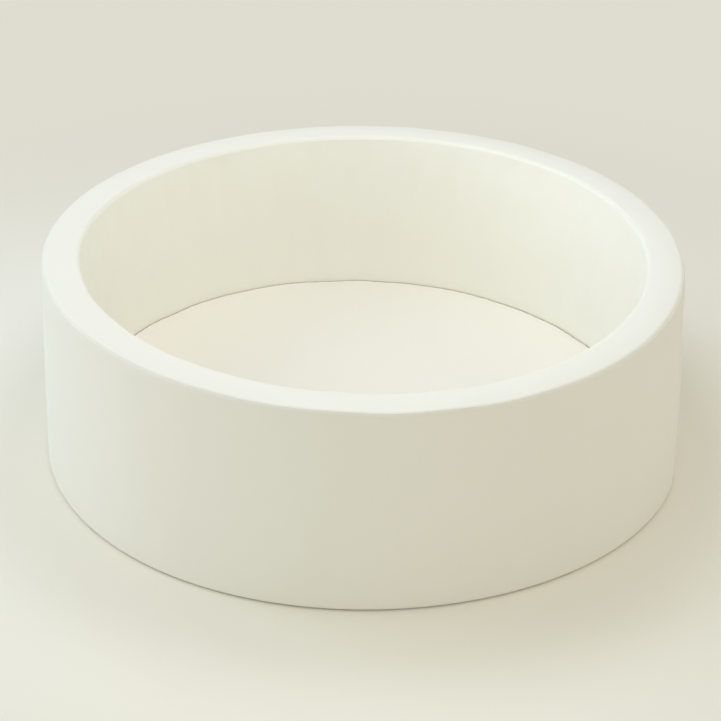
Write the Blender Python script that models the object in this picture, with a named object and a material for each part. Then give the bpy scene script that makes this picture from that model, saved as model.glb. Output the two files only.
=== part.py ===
"""Round foam ball pit: a padded ring in a zipped leatherette cover, with a lift-out floor mat.

Everything stands on the floor at z = 0, centred on the z axis. The zips are at the back, towards +Y.
"""
import math
from collections import namedtuple

import bmesh
import bpy

# Driving sizes of the whole pit, in metres
OUTER_DIAMETER = 0.900
HEIGHT = 0.300
WALL_THICKNESS = 0.050
MAT_THICKNESS = 0.050

# Cover sheet and its sewing
SHEET = 0.0012
GAP = 0.0003
SEAM_ALLOWANCE = 0.005
WALL_ROUNDING = 0.008
MAT_ROUNDING = 0.006
FOOT_FLANGE = 0.012

# Floor mat
MAT_CLEARANCE = 0.0015
MAT_CROWN = 0.004
MAT_DRAW_IN = 0.0025

# Slots in the cover that the zips lie in, and how far round the back they run
WALL_SLOT_HEIGHT = 0.014
WALL_ZIP_ABOVE_SEAM = 0.0034
WALL_ZIP_HALF_ANGLE = math.radians(66)
MAT_SLOT_HEIGHT = 0.012
MAT_ZIP_HALF_ANGLE = math.radians(57)
BACK = math.radians(90)

# Zip tapes, rows of teeth and end stops
TAPE_THICKNESS = 0.0006
TAPE_WIDTH = 0.0105
TAPE_HIDDEN_END = 0.030
ROW_WIDTH = 0.0019
ROW_THICKNESS = 0.0020
ROW_CHAMFER = 0.0005
ROW_SLIT = 0.0009
STOP_LENGTH = 0.003
STOP_OVERHANG = 0.0006

# Zip sliders
SLIDER_LENGTH = 0.0105
SLIDER_WING = 0.0012
SLIDER_FLANGE = 0.0011
SLIDER_NOSE_FLARE = 0.0008
SLIDER_END_ROUNDING = 0.0008
SLIDER_RUN = 0.00035
DIVIDER_THICKNESS = 0.0004
DIVIDER_LENGTH = 0.0035
BRIDGE_SPAN = 0.0075
BRIDGE_BAR = 0.0010
BRIDGE_WIDTH = 0.0018
LUG_LENGTH = 0.004
LUG_HEIGHT = 0.0008

# Pull tab of the wall zip
PULL_LENGTH = 0.026
PULL_WIDTH = 0.0072
PULL_THICKNESS = 0.0010
PULL_CROSSBAR = 0.0010
PULL_SIDE_BAR = 0.0013
PULL_END_ROUNDING = 0.0020
PULL_GRIP_SLOT_WIDTH = 0.0024
PULL_GRIP_SLOT_LENGTH = 0.0080
PULL_GRIP_SLOT_SETBACK = 0.0035

# Round pieces are many-sided: every ring turns its corners at the same angles, so all rings nest
FACETS = 60
STEP = 2 * math.pi / FACETS
HALF_FACET = STEP / 2
SMOOTH_ANGLE = math.radians(35)

# Where the rings of the crowned mat lie, as shares of the flat of its top
CROWN_RING_SHARES = (0.88, 0.66, 0.36)
CROWN_POWER = 3

# Sizes that follow from the ones above
LAYER = SHEET + GAP
OUTER_RADIUS = OUTER_DIAMETER / 2
INNER_RADIUS = OUTER_RADIUS - WALL_THICKNESS
MAT_RADIUS = INNER_RADIUS - MAT_CLEARANCE
MAT_FOAM_RADIUS = MAT_RADIUS - MAT_DRAW_IN - LAYER
MAT_BOTTOM = LAYER
MAT_TOP = MAT_BOTTOM + MAT_THICKNESS
ROW_EDGE = ROW_SLIT / 2 + ROW_WIDTH
TAPE_EDGE = ROW_EDGE + GAP
GROOVE_HALF_FLOOR = TAPE_EDGE + SLIDER_FLANGE + SLIDER_NOSE_FLARE + SLIDER_RUN
SEAM_ANGLE = math.radians(45)
QUARTER_TURN = math.radians(90)

# Colours as linear shares of full brightness
CREAM_LEATHERETTE = (0.84, 0.82, 0.72)
CREAM_MAT = (0.84, 0.83, 0.74)
PALE_UNDERSIDE = (0.62, 0.61, 0.56)
FOAM_WHITE = (0.78, 0.77, 0.70)
TAPE_IVORY = (0.74, 0.72, 0.63)
TEETH_IVORY = (0.80, 0.78, 0.69)
LACQUERED_IVORY = (0.78, 0.76, 0.68)

ZipPlace = namedtuple("ZipPlace", "name radius height tape_width start end")


def clear_scene():
    """Remove every object that the file starts with."""
    for old in list(bpy.data.objects):
        bpy.data.objects.remove(old, do_unlink=True)


def material(name, colour, roughness, metallic):
    """Make one Principled material."""
    made = bpy.data.materials.new(name)
    made.use_nodes = True
    shader = made.node_tree.nodes["Principled BSDF"]
    shader.inputs["Base Color"].default_value = (*colour, 1.0)
    shader.inputs["Roughness"].default_value = roughness
    shader.inputs["Metallic"].default_value = metallic
    return made


def add_object(name, vertices, faces, colour, roughness, metallic=0.0):
    """Make a closed, smoothly shaded object whose faces point out."""
    mesh = bpy.data.meshes.new(name)
    mesh.from_pydata(vertices, [], faces)
    work = bmesh.new()
    work.from_mesh(mesh)
    bmesh.ops.recalc_face_normals(work, faces=work.faces)
    work.to_mesh(mesh)
    work.free()
    mesh.shade_smooth()
    mesh.set_sharp_from_angle(angle=SMOOTH_ANGLE)
    mesh.materials.append(material(name, colour, roughness, metallic))
    made = bpy.data.objects.new(name, mesh)
    bpy.context.scene.collection.objects.link(made)
    return made


def on_facets(radius, angle, height):
    """A point at this angle on a many-sided ring whose corners lie at the radius."""
    from_middle = angle % STEP - HALF_FACET
    reach = radius * math.cos(HALF_FACET) / math.cos(from_middle)
    return (reach * math.cos(angle), reach * math.sin(angle), height)


def whole_turn(extra=()):
    """The angles of every corner of a full ring, with extra ones between them."""
    corners = [STEP * index for index in range(FACETS)]
    for angle in extra:
        if all(abs(angle - corner) > HALF_FACET / FACETS for corner in corners):
            corners.append(angle)
    return sorted(corners)


def part_turn(start, end):
    """The angles of an open ring: its two ends and the corners between them."""
    inside = [a for a in whole_turn() if start + HALF_FACET / FACETS < a < end - HALF_FACET / FACETS]
    return [start, *inside, end]


def join_sections(rows, is_whole, left_out=()):
    """Faces between neighbouring sections, each a closed loop of as many points."""
    count = len(rows)
    points = len(rows[0])
    faces = []
    for here in range(count if is_whole else count - 1):
        there = (here + 1) % count
        for first in range(points):
            second = (first + 1) % points
            if (here, first) not in left_out:
                faces.append((rows[here][first], rows[there][first], rows[there][second], rows[here][second]))
    if not is_whole:
        faces.append(tuple(rows[0]))
        faces.append(tuple(reversed(rows[-1])))
    return faces


def number_rows(sections):
    """Give every point of every section its number in one long list of points."""
    vertices = [point for section in sections for point in section]
    points = len(sections[0])
    rows = [list(range(points * row, points * (row + 1))) for row in range(len(sections))]
    return vertices, rows


def turned_ring(section, angles):
    """Sections of a ring, one per angle, from an outline of radius and height pairs."""
    return [[on_facets(radius, angle, height) for radius, height in section] for angle in angles]


def make_ring(name, section, finish):
    """A full ring turned from one closed outline."""
    vertices, rows = number_rows(turned_ring(section, whole_turn()))
    return add_object(name, vertices, join_sections(rows, True), *finish)


def make_arc(name, section, start, end, finish):
    """Part of a ring between two angles, with flat ends."""
    vertices, rows = number_rows(turned_ring(section, part_turn(start, end)))
    return add_object(name, vertices, join_sections(rows, False), *finish)


def make_slotted_ring(name, section, outer_edge, inner_edge, start, end, finish):
    """A full ring with a long slot through its wall, between two angles.

    outer_edge and inner_edge number the outline's points below the slot outside and above it inside.
    """
    angles = whole_turn((start, end))
    vertices, rows = number_rows(turned_ring(section, angles))
    near = HALF_FACET / FACETS
    spans = [i for i, angle in enumerate(angles) if start - near <= angle < end - near]
    left_out = {(i, edge) for i in spans for edge in (outer_edge, inner_edge)}
    faces = join_sections(rows, True, left_out)
    for here in spans:
        there = here + 1
        lower = (outer_edge, inner_edge + 1)
        upper = (inner_edge, outer_edge + 1)
        for one, other in (lower, upper):
            faces.append((rows[here][one], rows[there][one], rows[there][other], rows[here][other]))
    around = (outer_edge, outer_edge + 1, inner_edge, inner_edge + 1)
    faces.append(tuple(rows[spans[0]][k] for k in reversed(around)))
    faces.append(tuple(rows[spans[-1] + 1][k] for k in around))
    return add_object(name, vertices, faces, *finish)


def make_disc(name, section, finish):
    """A round panel or slab: the outline starts and ends on the z axis."""
    first_pole = section[0]
    last_pole = section[-1]
    vertices, rows = number_rows(turned_ring(section[1:-1], whole_turn()))
    count = len(rows)
    faces = []
    for here in range(count):
        there = (here + 1) % count
        for low, high in zip(range(len(rows[here]) - 1), range(1, len(rows[here]))):
            faces.append((rows[here][low], rows[there][low], rows[there][high], rows[here][high]))
        faces.append((len(vertices), rows[there][0], rows[here][0]))
        faces.append((rows[here][-1], rows[there][-1], len(vertices) + 1))
    vertices.append((0, 0, first_pole[1]))
    vertices.append((0, 0, last_pole[1]))
    return add_object(name, vertices, faces, *finish)


def arc_point(centre, radius, angle):
    """A point on a rounding, in radius and height."""
    return (centre[0] + radius * math.cos(angle), centre[1] + radius * math.sin(angle))


def seam_edge(centre, rounding, angle, side):
    """The edge of a sheet that turns in along a seam: lip, two points of its end, and inner corner.

    The seam cuts the rounding at the angle. The sheet lies on its anticlockwise side, or with side -1
    on the other, and leaves half a gap to the seam's middle.
    """
    out = (math.cos(angle), math.sin(angle))
    across = (-side * out[1], side * out[0])

    def place(outward, sideways):
        return tuple(c + outward * o + sideways * a for c, o, a in zip(centre, out, across))

    near = GAP / 2
    far = near + SHEET
    lip = place(math.sqrt(rounding ** 2 - near ** 2), near)
    end_near = place(rounding - SEAM_ALLOWANCE, near)
    end_far = place(rounding - SEAM_ALLOWANCE, far)
    corner = place(math.sqrt((rounding - SHEET) ** 2 - far ** 2), far)
    return [lip, end_near, end_far, corner]


def corner_cut(rounding, drawn_in):
    """How much of a foam's corner the turned-in edges of a seam press away."""
    tip = rounding - SEAM_ALLOWANCE - GAP
    return 2 * rounding - drawn_in - 2 * LAYER - math.sqrt(2) * tip


def slot_heights(middle, height):
    """The lower and upper edge of a slot."""
    return middle - height / 2, middle + height / 2


def outer_panel_section(zip_height):
    """The outer wall's sheet, from the seam at the floor to the seam at the rim."""
    low = (OUTER_RADIUS - WALL_ROUNDING, WALL_ROUNDING)
    high = (OUTER_RADIUS - WALL_ROUNDING, HEIGHT - WALL_ROUNDING)
    foot = seam_edge(low, WALL_ROUNDING, -SEAM_ANGLE, 1)
    head = seam_edge(high, WALL_ROUNDING, SEAM_ANGLE, -1)
    slot_low, slot_high = slot_heights(zip_height, WALL_SLOT_HEIGHT)
    inside = OUTER_RADIUS - SHEET
    return [
        foot[0],
        arc_point(low, WALL_ROUNDING, -SEAM_ANGLE / 2),
        (OUTER_RADIUS, low[1]),
        (OUTER_RADIUS, slot_low),
        (OUTER_RADIUS, slot_high),
        (OUTER_RADIUS, high[1]),
        arc_point(high, WALL_ROUNDING, SEAM_ANGLE / 2),
        *head,
        (inside, high[1]),
        (inside, slot_high),
        (inside, slot_low),
        (inside, low[1]),
        *reversed(foot[1:]),
    ]


def rim_panel_section():
    """The flat ring of sheet on top of the wall, sewn at both of its edges."""
    outer = (OUTER_RADIUS - WALL_ROUNDING, HEIGHT - WALL_ROUNDING)
    inner = (INNER_RADIUS + WALL_ROUNDING, HEIGHT - WALL_ROUNDING)
    outer_seam = seam_edge(outer, WALL_ROUNDING, SEAM_ANGLE, 1)
    inner_seam = seam_edge(inner, WALL_ROUNDING, math.pi - SEAM_ANGLE, -1)
    return [
        *reversed(outer_seam),
        arc_point(outer, WALL_ROUNDING, QUARTER_TURN - SEAM_ANGLE / 2),
        (outer[0], HEIGHT),
        (inner[0], HEIGHT),
        arc_point(inner, WALL_ROUNDING, QUARTER_TURN + SEAM_ANGLE / 2),
        *inner_seam,
        (inner[0], HEIGHT - SHEET),
        (outer[0], HEIGHT - SHEET),
    ]


def inner_panel_section():
    """The inner wall's sheet: sewn to the rim, with a foot that turns out under the foam."""
    high = (INNER_RADIUS + WALL_ROUNDING, HEIGHT - WALL_ROUNDING)
    head = seam_edge(high, WALL_ROUNDING, math.pi - SEAM_ANGLE, 1)
    return [
        *reversed(head),
        arc_point(high, WALL_ROUNDING, math.pi - SEAM_ANGLE / 2),
        (INNER_RADIUS, high[1]),
        (INNER_RADIUS, LAYER),
        (INNER_RADIUS + FOOT_FLANGE, LAYER),
        (INNER_RADIUS + FOOT_FLANGE, LAYER + SHEET),
        (INNER_RADIUS + SHEET, LAYER + SHEET),
        (INNER_RADIUS + SHEET, high[1]),
    ]


def round_sheet_section(radius, rounding, floor):
    """A flat round sheet whose edge turns up and in along a seam."""
    centre = (radius - rounding, floor + rounding)
    return [
        (0, floor),
        (centre[0], floor),
        arc_point(centre, rounding, -QUARTER_TURN + SEAM_ANGLE / 2),
        *seam_edge(centre, rounding, -SEAM_ANGLE, -1),
        (centre[0], floor + SHEET),
        (0, floor + SHEET),
    ]


def facet_sag(radius):
    """How far the middle of a facet lies inside the circle through its corners."""
    return radius * (1 - math.cos(HALF_FACET))


def inner_play(radius):
    """Extra room that a straight slider needs behind a many-sided row."""
    return facet_sag(radius) + SLIDER_LENGTH / 2 * math.tan(HALF_FACET)


def slider_depth(radius):
    """How far a slider's inner wing reaches behind the middle of the tapes."""
    return ROW_THICKNESS / 2 + SLIDER_RUN + inner_play(radius) + SLIDER_WING


def groove_shape(face, radius):
    """The floor of the hollow behind a zip, and how much its sides spread for their height."""
    behind_tape = radius - TAPE_THICKNESS / 2 - GAP
    floor = radius - slider_depth(radius) - GAP
    return floor, (face - behind_tape) / (behind_tape - floor)


def groove_half_mouth(face, radius, tape_width):
    """Half the height of the hollow where it meets the foam's side, so that it clears the tapes."""
    spread = groove_shape(face, radius)[1]
    half_tapes = TAPE_EDGE + tape_width + GAP
    return half_tapes + spread * (half_tapes - GROOVE_HALF_FLOOR)


def groove_points(face, place, is_cut):
    """Four points of a foam's side, bottom to top: the hollow that the zip presses into it."""
    depth = groove_shape(face, place.radius)[0] if is_cut else face
    half_mouth = groove_half_mouth(face, place.radius, place.tape_width)
    return [
        (face, place.height - half_mouth),
        (depth, place.height - GROOVE_HALF_FLOOR),
        (depth, place.height + GROOVE_HALF_FLOOR),
        (face, place.height + half_mouth),
    ]


def wall_foam_section(place, is_cut):
    """The upright foam of the wall, with corners pressed in by the seams."""
    inner = INNER_RADIUS + LAYER
    outer = OUTER_RADIUS - LAYER
    top = HEIGHT - LAYER
    over_foot = LAYER + SHEET + GAP
    foot_end = INNER_RADIUS + FOOT_FLANGE + GAP
    cut = corner_cut(WALL_ROUNDING, 0)
    return [
        (inner, over_foot),
        (foot_end, over_foot),
        (foot_end + over_foot - LAYER, LAYER),
        (outer - cut, LAYER),
        (outer, LAYER + cut),
        *groove_points(outer, place, is_cut),
        (outer, top - cut),
        (outer - cut, top),
        (inner + cut, top),
        (inner, top - cut),
    ]


def make_wall_foams(place, finish):
    """Two half rings of foam that meet at the left and right, the back one hollowed behind the zip."""
    beyond = TAPE_HIDDEN_END / place.radius + STEP
    halves = (("foam_wall_back", 0, math.pi, 1), ("foam_wall_front", math.pi, 2 * math.pi, -1))
    for name, start, end, side in halves:
        sections = []
        for angle in part_turn(start, end):
            is_cut = place.start - beyond < angle < place.end + beyond
            section = wall_foam_section(place, is_cut)
            sections.append([on_facets(radius, angle, height) for radius, height in section])
        for row in (0, -1):
            sections[row] = [(x, side * GAP / 2, z) for x, y, z in sections[row]]
        vertices, rows = number_rows(sections)
        add_object(name, vertices, join_sections(rows, False), *finish)


def crown_at(radius):
    """Height of the mat's crown over its edge."""
    share = min(radius / (MAT_RADIUS - MAT_ROUNDING), 1)
    return MAT_CROWN * (1 - share ** CROWN_POWER)


def crown_points(below):
    """Points of the crowned top, from its edge to the axis, this far under the mat's top."""
    flat = MAT_RADIUS - MAT_ROUNDING
    rings = [share * flat for share in CROWN_RING_SHARES]
    return [(radius, MAT_TOP - below + crown_at(radius)) for radius in (*rings, 0)]


def mat_top_section():
    """The mat's crowned top sheet, with its edge turned down and in along the seam."""
    centre = (MAT_RADIUS - MAT_ROUNDING, MAT_TOP - MAT_ROUNDING)
    seam = seam_edge(centre, MAT_ROUNDING, SEAM_ANGLE, 1)
    return [
        *reversed(crown_points(SHEET)),
        (centre[0], MAT_TOP - SHEET),
        *reversed(seam),
        arc_point(centre, MAT_ROUNDING, QUARTER_TURN - SEAM_ANGLE / 2),
        (centre[0], MAT_TOP),
        *crown_points(0),
    ]


def mat_gusset_section(middle):
    """The mat's side strip, drawn in between its two seams, where its zip lies."""
    low = (MAT_RADIUS - MAT_ROUNDING, MAT_BOTTOM + MAT_ROUNDING)
    high = (MAT_RADIUS - MAT_ROUNDING, MAT_TOP - MAT_ROUNDING)
    foot = seam_edge(low, MAT_ROUNDING, -SEAM_ANGLE, 1)
    head = seam_edge(high, MAT_ROUNDING, SEAM_ANGLE, -1)
    slot_low, slot_high = slot_heights(middle, MAT_SLOT_HEIGHT)
    waist = MAT_RADIUS - MAT_DRAW_IN
    return [
        foot[0],
        (MAT_RADIUS, low[1]),
        (waist, slot_low),
        (waist, slot_high),
        (MAT_RADIUS, high[1]),
        *head,
        (waist - SHEET, slot_high),
        (waist - SHEET, slot_low),
        *reversed(foot[1:]),
    ]


def mat_foam_section(place):
    """The foam disc of the mat: crowned above, hollowed at its side behind the zip."""
    face = MAT_FOAM_RADIUS
    bottom = MAT_BOTTOM + LAYER
    top = MAT_TOP - LAYER
    cut = corner_cut(MAT_ROUNDING, MAT_DRAW_IN)
    return [
        (0, bottom),
        (face - cut, bottom),
        (face, bottom + cut),
        *groove_points(face, place, True),
        (face, top - cut),
        (face - cut, top),
        *crown_points(LAYER),
    ]


def zip_places():
    """The zip low in the wall's back, just above the floor's seam, and the zip in the mat's side.

    The mat's tapes are as wide as its side has room for between the two seams.
    """
    wall_foam = OUTER_RADIUS - LAYER
    wall_radius = wall_foam - TAPE_THICKNESS / 2
    seam_top = LAYER + corner_cut(WALL_ROUNDING, 0)
    wall_height = seam_top + WALL_ZIP_ABOVE_SEAM + groove_half_mouth(wall_foam, wall_radius, TAPE_WIDTH)
    wall = ZipPlace("wall_zip", wall_radius, wall_height, TAPE_WIDTH,
                    BACK - WALL_ZIP_HALF_ANGLE, BACK + WALL_ZIP_HALF_ANGLE)
    mat_radius = MAT_FOAM_RADIUS - TAPE_THICKNESS / 2
    spread = groove_shape(MAT_FOAM_RADIUS, mat_radius)[1]
    room = MAT_THICKNESS / 2 - LAYER - corner_cut(MAT_ROUNDING, MAT_DRAW_IN)
    widest = (room + spread * GROOVE_HALF_FLOOR) / (1 + spread) - TAPE_EDGE - GAP
    mat = ZipPlace("mat_zip", mat_radius, (MAT_BOTTOM + MAT_TOP) / 2, min(TAPE_WIDTH, widest),
                   BACK - MAT_ZIP_HALF_ANGLE, BACK + MAT_ZIP_HALF_ANGLE)
    return wall, mat


def stop_room(place):
    """The angle that an end stop takes up with a gap before and behind it."""
    return (STOP_LENGTH + 2 * GAP) / place.radius


def slider_angle(place):
    """The angle of the slider's middle at the closed end."""
    return place.start + stop_room(place) + (SLIDER_LENGTH / 2 + SLIDER_RUN) / place.radius


def make_tapes(place, finish):
    """The two woven tapes, which run on behind the cover past both ends of the slot."""
    hidden = TAPE_HIDDEN_END / place.radius
    for side, word in ((1, "upper"), (-1, "lower")):
        near = place.height + side * TAPE_EDGE
        far = place.height + side * (TAPE_EDGE + place.tape_width)
        inner = place.radius - TAPE_THICKNESS / 2
        outer = place.radius + TAPE_THICKNESS / 2
        section = [(inner, near), (outer, near), (outer, far), (inner, far)]
        make_arc(f"{place.name}_tape_{word}", section[::side], place.start - hidden, place.end + hidden, finish)


def make_rows(place, finish):
    """The two rows of teeth, each a bar along the edge of its tape."""
    room = stop_room(place)
    inner = place.radius - ROW_THICKNESS / 2
    outer = place.radius + ROW_THICKNESS / 2
    for side, word in ((1, "upper"), (-1, "lower")):
        near = place.height + side * ROW_SLIT / 2
        shoulder = place.height + side * (ROW_EDGE - ROW_CHAMFER)
        far = place.height + side * ROW_EDGE
        section = [
            (inner, near),
            (outer, near),
            (outer, shoulder),
            (outer - ROW_CHAMFER, far),
            (inner + ROW_CHAMFER, far),
            (inner, shoulder),
        ]
        make_arc(f"{place.name}_row_{word}", section[::side], place.start + room, place.end - room, finish)


def make_stops(place, finish):
    """A block across both rows at each end of the zip."""
    half = ROW_THICKNESS / 2 + STOP_OVERHANG
    corner = ROW_CHAMFER
    section = [
        (place.radius - half, place.height - ROW_EDGE),
        (place.radius + half - corner, place.height - ROW_EDGE),
        (place.radius + half, place.height - ROW_EDGE + corner),
        (place.radius + half, place.height + ROW_EDGE - corner),
        (place.radius + half - corner, place.height + ROW_EDGE),
        (place.radius - half, place.height + ROW_EDGE),
    ]
    gap = GAP / place.radius
    length = STOP_LENGTH / place.radius
    make_arc(f"{place.name}_stop_closed_end", section, place.start + gap, place.start + gap + length, finish)
    make_arc(f"{place.name}_stop_open_end", section, place.end - gap - length, place.end - gap, finish)


def make_block(name, loops, finish):
    """A solid lofted through loops of as many points."""
    vertices, rows = number_rows(loops)
    return add_object(name, vertices, join_sections(rows, False), *finish)


def apply_boolean(base, tool, operation):
    """Join a tool to the base or cut it away, and remove the tool."""
    change = base.modifiers.new(operation.title(), "BOOLEAN")
    change.operation = operation
    change.solver = "EXACT"
    change.object = tool
    bpy.context.view_layer.update()
    evaluated = base.evaluated_get(bpy.context.evaluated_depsgraph_get())
    result = bpy.data.meshes.new_from_object(evaluated)
    base.modifiers.clear()
    old = base.data
    base.data = result
    bpy.data.meshes.remove(old)
    tool_mesh = tool.data
    bpy.data.objects.remove(tool, do_unlink=True)
    bpy.data.meshes.remove(tool_mesh)


def slider_shell(name, place, lip, channel, wing, finish):
    """One wing of a slider with its two side flanges, as a lofted C that is widest at the nose.

    The three depths are measured from the middle of the tapes, out for the outer wing and negative
    for the inner one.
    """
    inside = TAPE_EDGE
    tail_half = inside + SLIDER_FLANGE
    nose_half = tail_half + SLIDER_NOSE_FLARE
    half = SLIDER_LENGTH / 2
    stations = (
        (-half, nose_half - SLIDER_END_ROUNDING),
        (-half + SLIDER_END_ROUNDING, nose_half),
        (-half + DIVIDER_LENGTH, nose_half),
        (half - SLIDER_END_ROUNDING, tail_half),
        (half, tail_half - SLIDER_END_ROUNDING),
    )
    loops = []
    for along, width in stations:
        outline = (
            (lip, -width), (wing, -width), (wing, width), (lip, width),
            (lip, inside), (channel, inside), (channel, -inside), (lip, -inside),
        )
        loops.append([(place.radius + out, along, place.height + up) for out, up in outline])
    return make_block(name, loops, finish)


def box_loops(place, inner, outer, start, end, half_height):
    """Two square loops that make a block between two depths and two places along the tape."""
    corners = ((inner, -half_height), (outer, -half_height), (outer, half_height), (inner, half_height))
    return [[(place.radius + out, along, place.height + up) for out, up in corners] for along in (start, end)]


def make_slider(place, finish, add_grip):
    """A zip slider: two flanged wings joined by the divider between the rows, and a grip on top."""
    play = inner_play(place.radius)
    lip = TAPE_THICKNESS / 2 + SLIDER_RUN
    channel = ROW_THICKNESS / 2 + SLIDER_RUN
    top = channel + SLIDER_WING
    bottom = -channel - play - SLIDER_WING
    slider = slider_shell(f"{place.name}_slider", place, lip, channel, top, finish)
    inner = slider_shell("inner_wing", place, -lip - play, -channel - play, bottom, finish)
    nose = -SLIDER_LENGTH / 2 + SLIDER_END_ROUNDING
    divider_loops = box_loops(place, bottom + SLIDER_WING / 2, top - SLIDER_WING / 2,
                              nose, nose + DIVIDER_LENGTH, DIVIDER_THICKNESS / 2)
    divider = make_block("divider", divider_loops, finish)
    apply_boolean(slider, divider, "UNION")
    apply_boolean(slider, inner, "UNION")
    apply_boolean(slider, add_grip(place, top, finish), "UNION")
    slider.rotation_euler.z = slider_angle(place)
    return slider


def crossbar_reach():
    """Half the diagonal of the pull's crossbar, which turns inside the bridge."""
    return math.hypot(PULL_CROSSBAR, PULL_THICKNESS) / 2


def bridge(place, top, finish):
    """The arch on the outer wing that holds the pull's crossbar."""
    half = BRIDGE_SPAN / 2
    root = top - SLIDER_WING / 2
    opening = top + 2 * (crossbar_reach() + GAP)
    crest = opening + BRIDGE_BAR
    inner_half = half - BRIDGE_BAR
    outline = (
        (root, -half), (opening, -half), (crest, -inner_half), (crest, inner_half), (opening, half),
        (root, half), (root, inner_half), (opening, inner_half), (opening, -inner_half), (root, -inner_half),
    )
    loops = []
    for up in (-BRIDGE_WIDTH / 2, BRIDGE_WIDTH / 2):
        loops.append([(place.radius + out, along, place.height + up) for out, along in outline])
    return make_block("bridge", loops, finish)


def low_lug(place, top, finish):
    """The low lug of a slider without a pull, which small fingers can't grip."""
    loops = box_loops(place, top - SLIDER_WING / 2, top + LUG_HEIGHT,
                      -LUG_LENGTH / 2, LUG_LENGTH / 2, BRIDGE_WIDTH / 2)
    return make_block("lug", loops, finish)


def rounded_strip(start, end, half_start, half_end, rounding, thickness):
    """Two loops of a flat tab with cut corners, along +Y, centred on x = 0."""
    outline = (
        (start, -half_start + rounding), (start + rounding, -half_start), (end - rounding, -half_end),
        (end, -half_end + rounding), (end, half_end - rounding), (end - rounding, half_end),
        (start + rounding, half_start), (start, half_start - rounding),
    )
    return [[(side * thickness / 2, along, up) for along, up in outline] for side in (1, -1)]


def make_pull(place, slider, finish):
    """The pull tab: an eye round the bridge, a flat tab and a slot to grip it by."""
    rise = crossbar_reach() + GAP
    top = ROW_THICKNESS / 2 + SLIDER_RUN + SLIDER_WING
    bridge_reach = math.hypot(BRIDGE_SPAN / 2, rise + BRIDGE_BAR)
    eye_half = BRIDGE_WIDTH / 2 + GAP
    eye_end = bridge_reach + GAP
    bar = PULL_CROSSBAR / 2
    corner = PULL_SIDE_BAR / 2
    body = rounded_strip(-bar, PULL_LENGTH, eye_half + PULL_SIDE_BAR, PULL_WIDTH / 2, corner, PULL_THICKNESS)
    pull = make_block(f"{place.name}_pull", body, finish)
    deep = 2 * PULL_THICKNESS
    eye = make_block("eye", rounded_strip(bar, eye_end, eye_half, eye_half, GAP, deep), finish)
    apply_boolean(pull, eye, "DIFFERENCE")
    slot_end = PULL_LENGTH - PULL_GRIP_SLOT_SETBACK
    slot_half = PULL_GRIP_SLOT_WIDTH / 2
    grip = rounded_strip(slot_end - PULL_GRIP_SLOT_LENGTH, slot_end, slot_half, slot_half, slot_half / 2, deep)
    apply_boolean(pull, make_block("grip", grip, finish), "DIFFERENCE")
    pull.parent = slider
    pull.location = (place.radius + top + rise, 0, place.height)
    return pull


def build_wall(place):
    """The padded ring: four sewn sheets, two foams and the zip at the back."""
    sheet = (CREAM_LEATHERETTE, 0.48)
    make_slotted_ring("outer_panel", outer_panel_section(place.height), 3, 12, place.start, place.end, sheet)
    make_ring("rim_panel", rim_panel_section(), sheet)
    make_ring("inner_panel", inner_panel_section(), sheet)
    make_disc("base_panel", round_sheet_section(OUTER_RADIUS, WALL_ROUNDING, 0), (PALE_UNDERSIDE, 0.75))
    make_wall_foams(place, (FOAM_WHITE, 0.95))
    build_zip(place)
    slider = make_slider(place, (LACQUERED_IVORY, 0.35, 0.2), bridge)
    make_pull(place, slider, (LACQUERED_IVORY, 0.35, 0.2))


def build_zip(place):
    """Tapes, rows and stops of one zip."""
    make_tapes(place, (TAPE_IVORY, 0.85))
    make_rows(place, (TEETH_IVORY, 0.40))
    make_stops(place, (TEETH_IVORY, 0.35))


def build_mat(place):
    """The lift-out floor mat: foam in a top, a side strip and a bottom, zipped at the back."""
    mat_lift = bpy.data.objects.new("mat_lift", None)
    bpy.context.scene.collection.objects.link(mat_lift)
    before = set(bpy.data.objects)
    make_disc("mat_top_panel", mat_top_section(), (CREAM_MAT, 0.50))
    make_slotted_ring("mat_gusset", mat_gusset_section(place.height), 2, 9, place.start, place.end,
                      (CREAM_MAT, 0.50))
    make_disc("mat_bottom_panel", round_sheet_section(MAT_RADIUS, MAT_ROUNDING, MAT_BOTTOM),
              (PALE_UNDERSIDE, 0.75))
    make_disc("mat_foam", mat_foam_section(place), (FOAM_WHITE, 0.95))
    build_zip(place)
    make_slider(place, (LACQUERED_IVORY, 0.35, 0.2), low_lug)
    for piece in set(bpy.data.objects) - before:
        piece.parent = mat_lift


def main():
    """Build the ball pit."""
    clear_scene()
    wall_zip, mat_zip = zip_places()
    build_wall(wall_zip)
    build_mat(mat_zip)


main()
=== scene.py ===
import math

import bmesh
import bpy
import numpy as np
from mathutils import Matrix, Vector
from mathutils.kdtree import KDTree


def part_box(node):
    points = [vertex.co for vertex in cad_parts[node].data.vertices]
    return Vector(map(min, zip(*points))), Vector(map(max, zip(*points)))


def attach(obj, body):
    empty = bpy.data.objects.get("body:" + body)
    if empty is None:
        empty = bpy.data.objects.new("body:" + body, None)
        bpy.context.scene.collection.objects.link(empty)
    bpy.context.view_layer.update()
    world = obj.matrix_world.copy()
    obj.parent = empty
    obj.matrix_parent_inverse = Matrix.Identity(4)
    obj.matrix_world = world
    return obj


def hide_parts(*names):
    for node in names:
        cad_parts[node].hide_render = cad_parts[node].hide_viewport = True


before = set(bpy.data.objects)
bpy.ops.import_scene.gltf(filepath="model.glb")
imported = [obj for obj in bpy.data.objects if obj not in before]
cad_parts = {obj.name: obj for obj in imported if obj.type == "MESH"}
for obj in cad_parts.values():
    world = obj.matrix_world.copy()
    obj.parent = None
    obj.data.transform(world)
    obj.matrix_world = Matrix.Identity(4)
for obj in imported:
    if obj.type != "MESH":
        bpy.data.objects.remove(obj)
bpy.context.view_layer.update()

# The pit's sizes, in metres, read from the frame's solids where they show there
OUTER_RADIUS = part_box("outer_panel")[1].x
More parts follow.
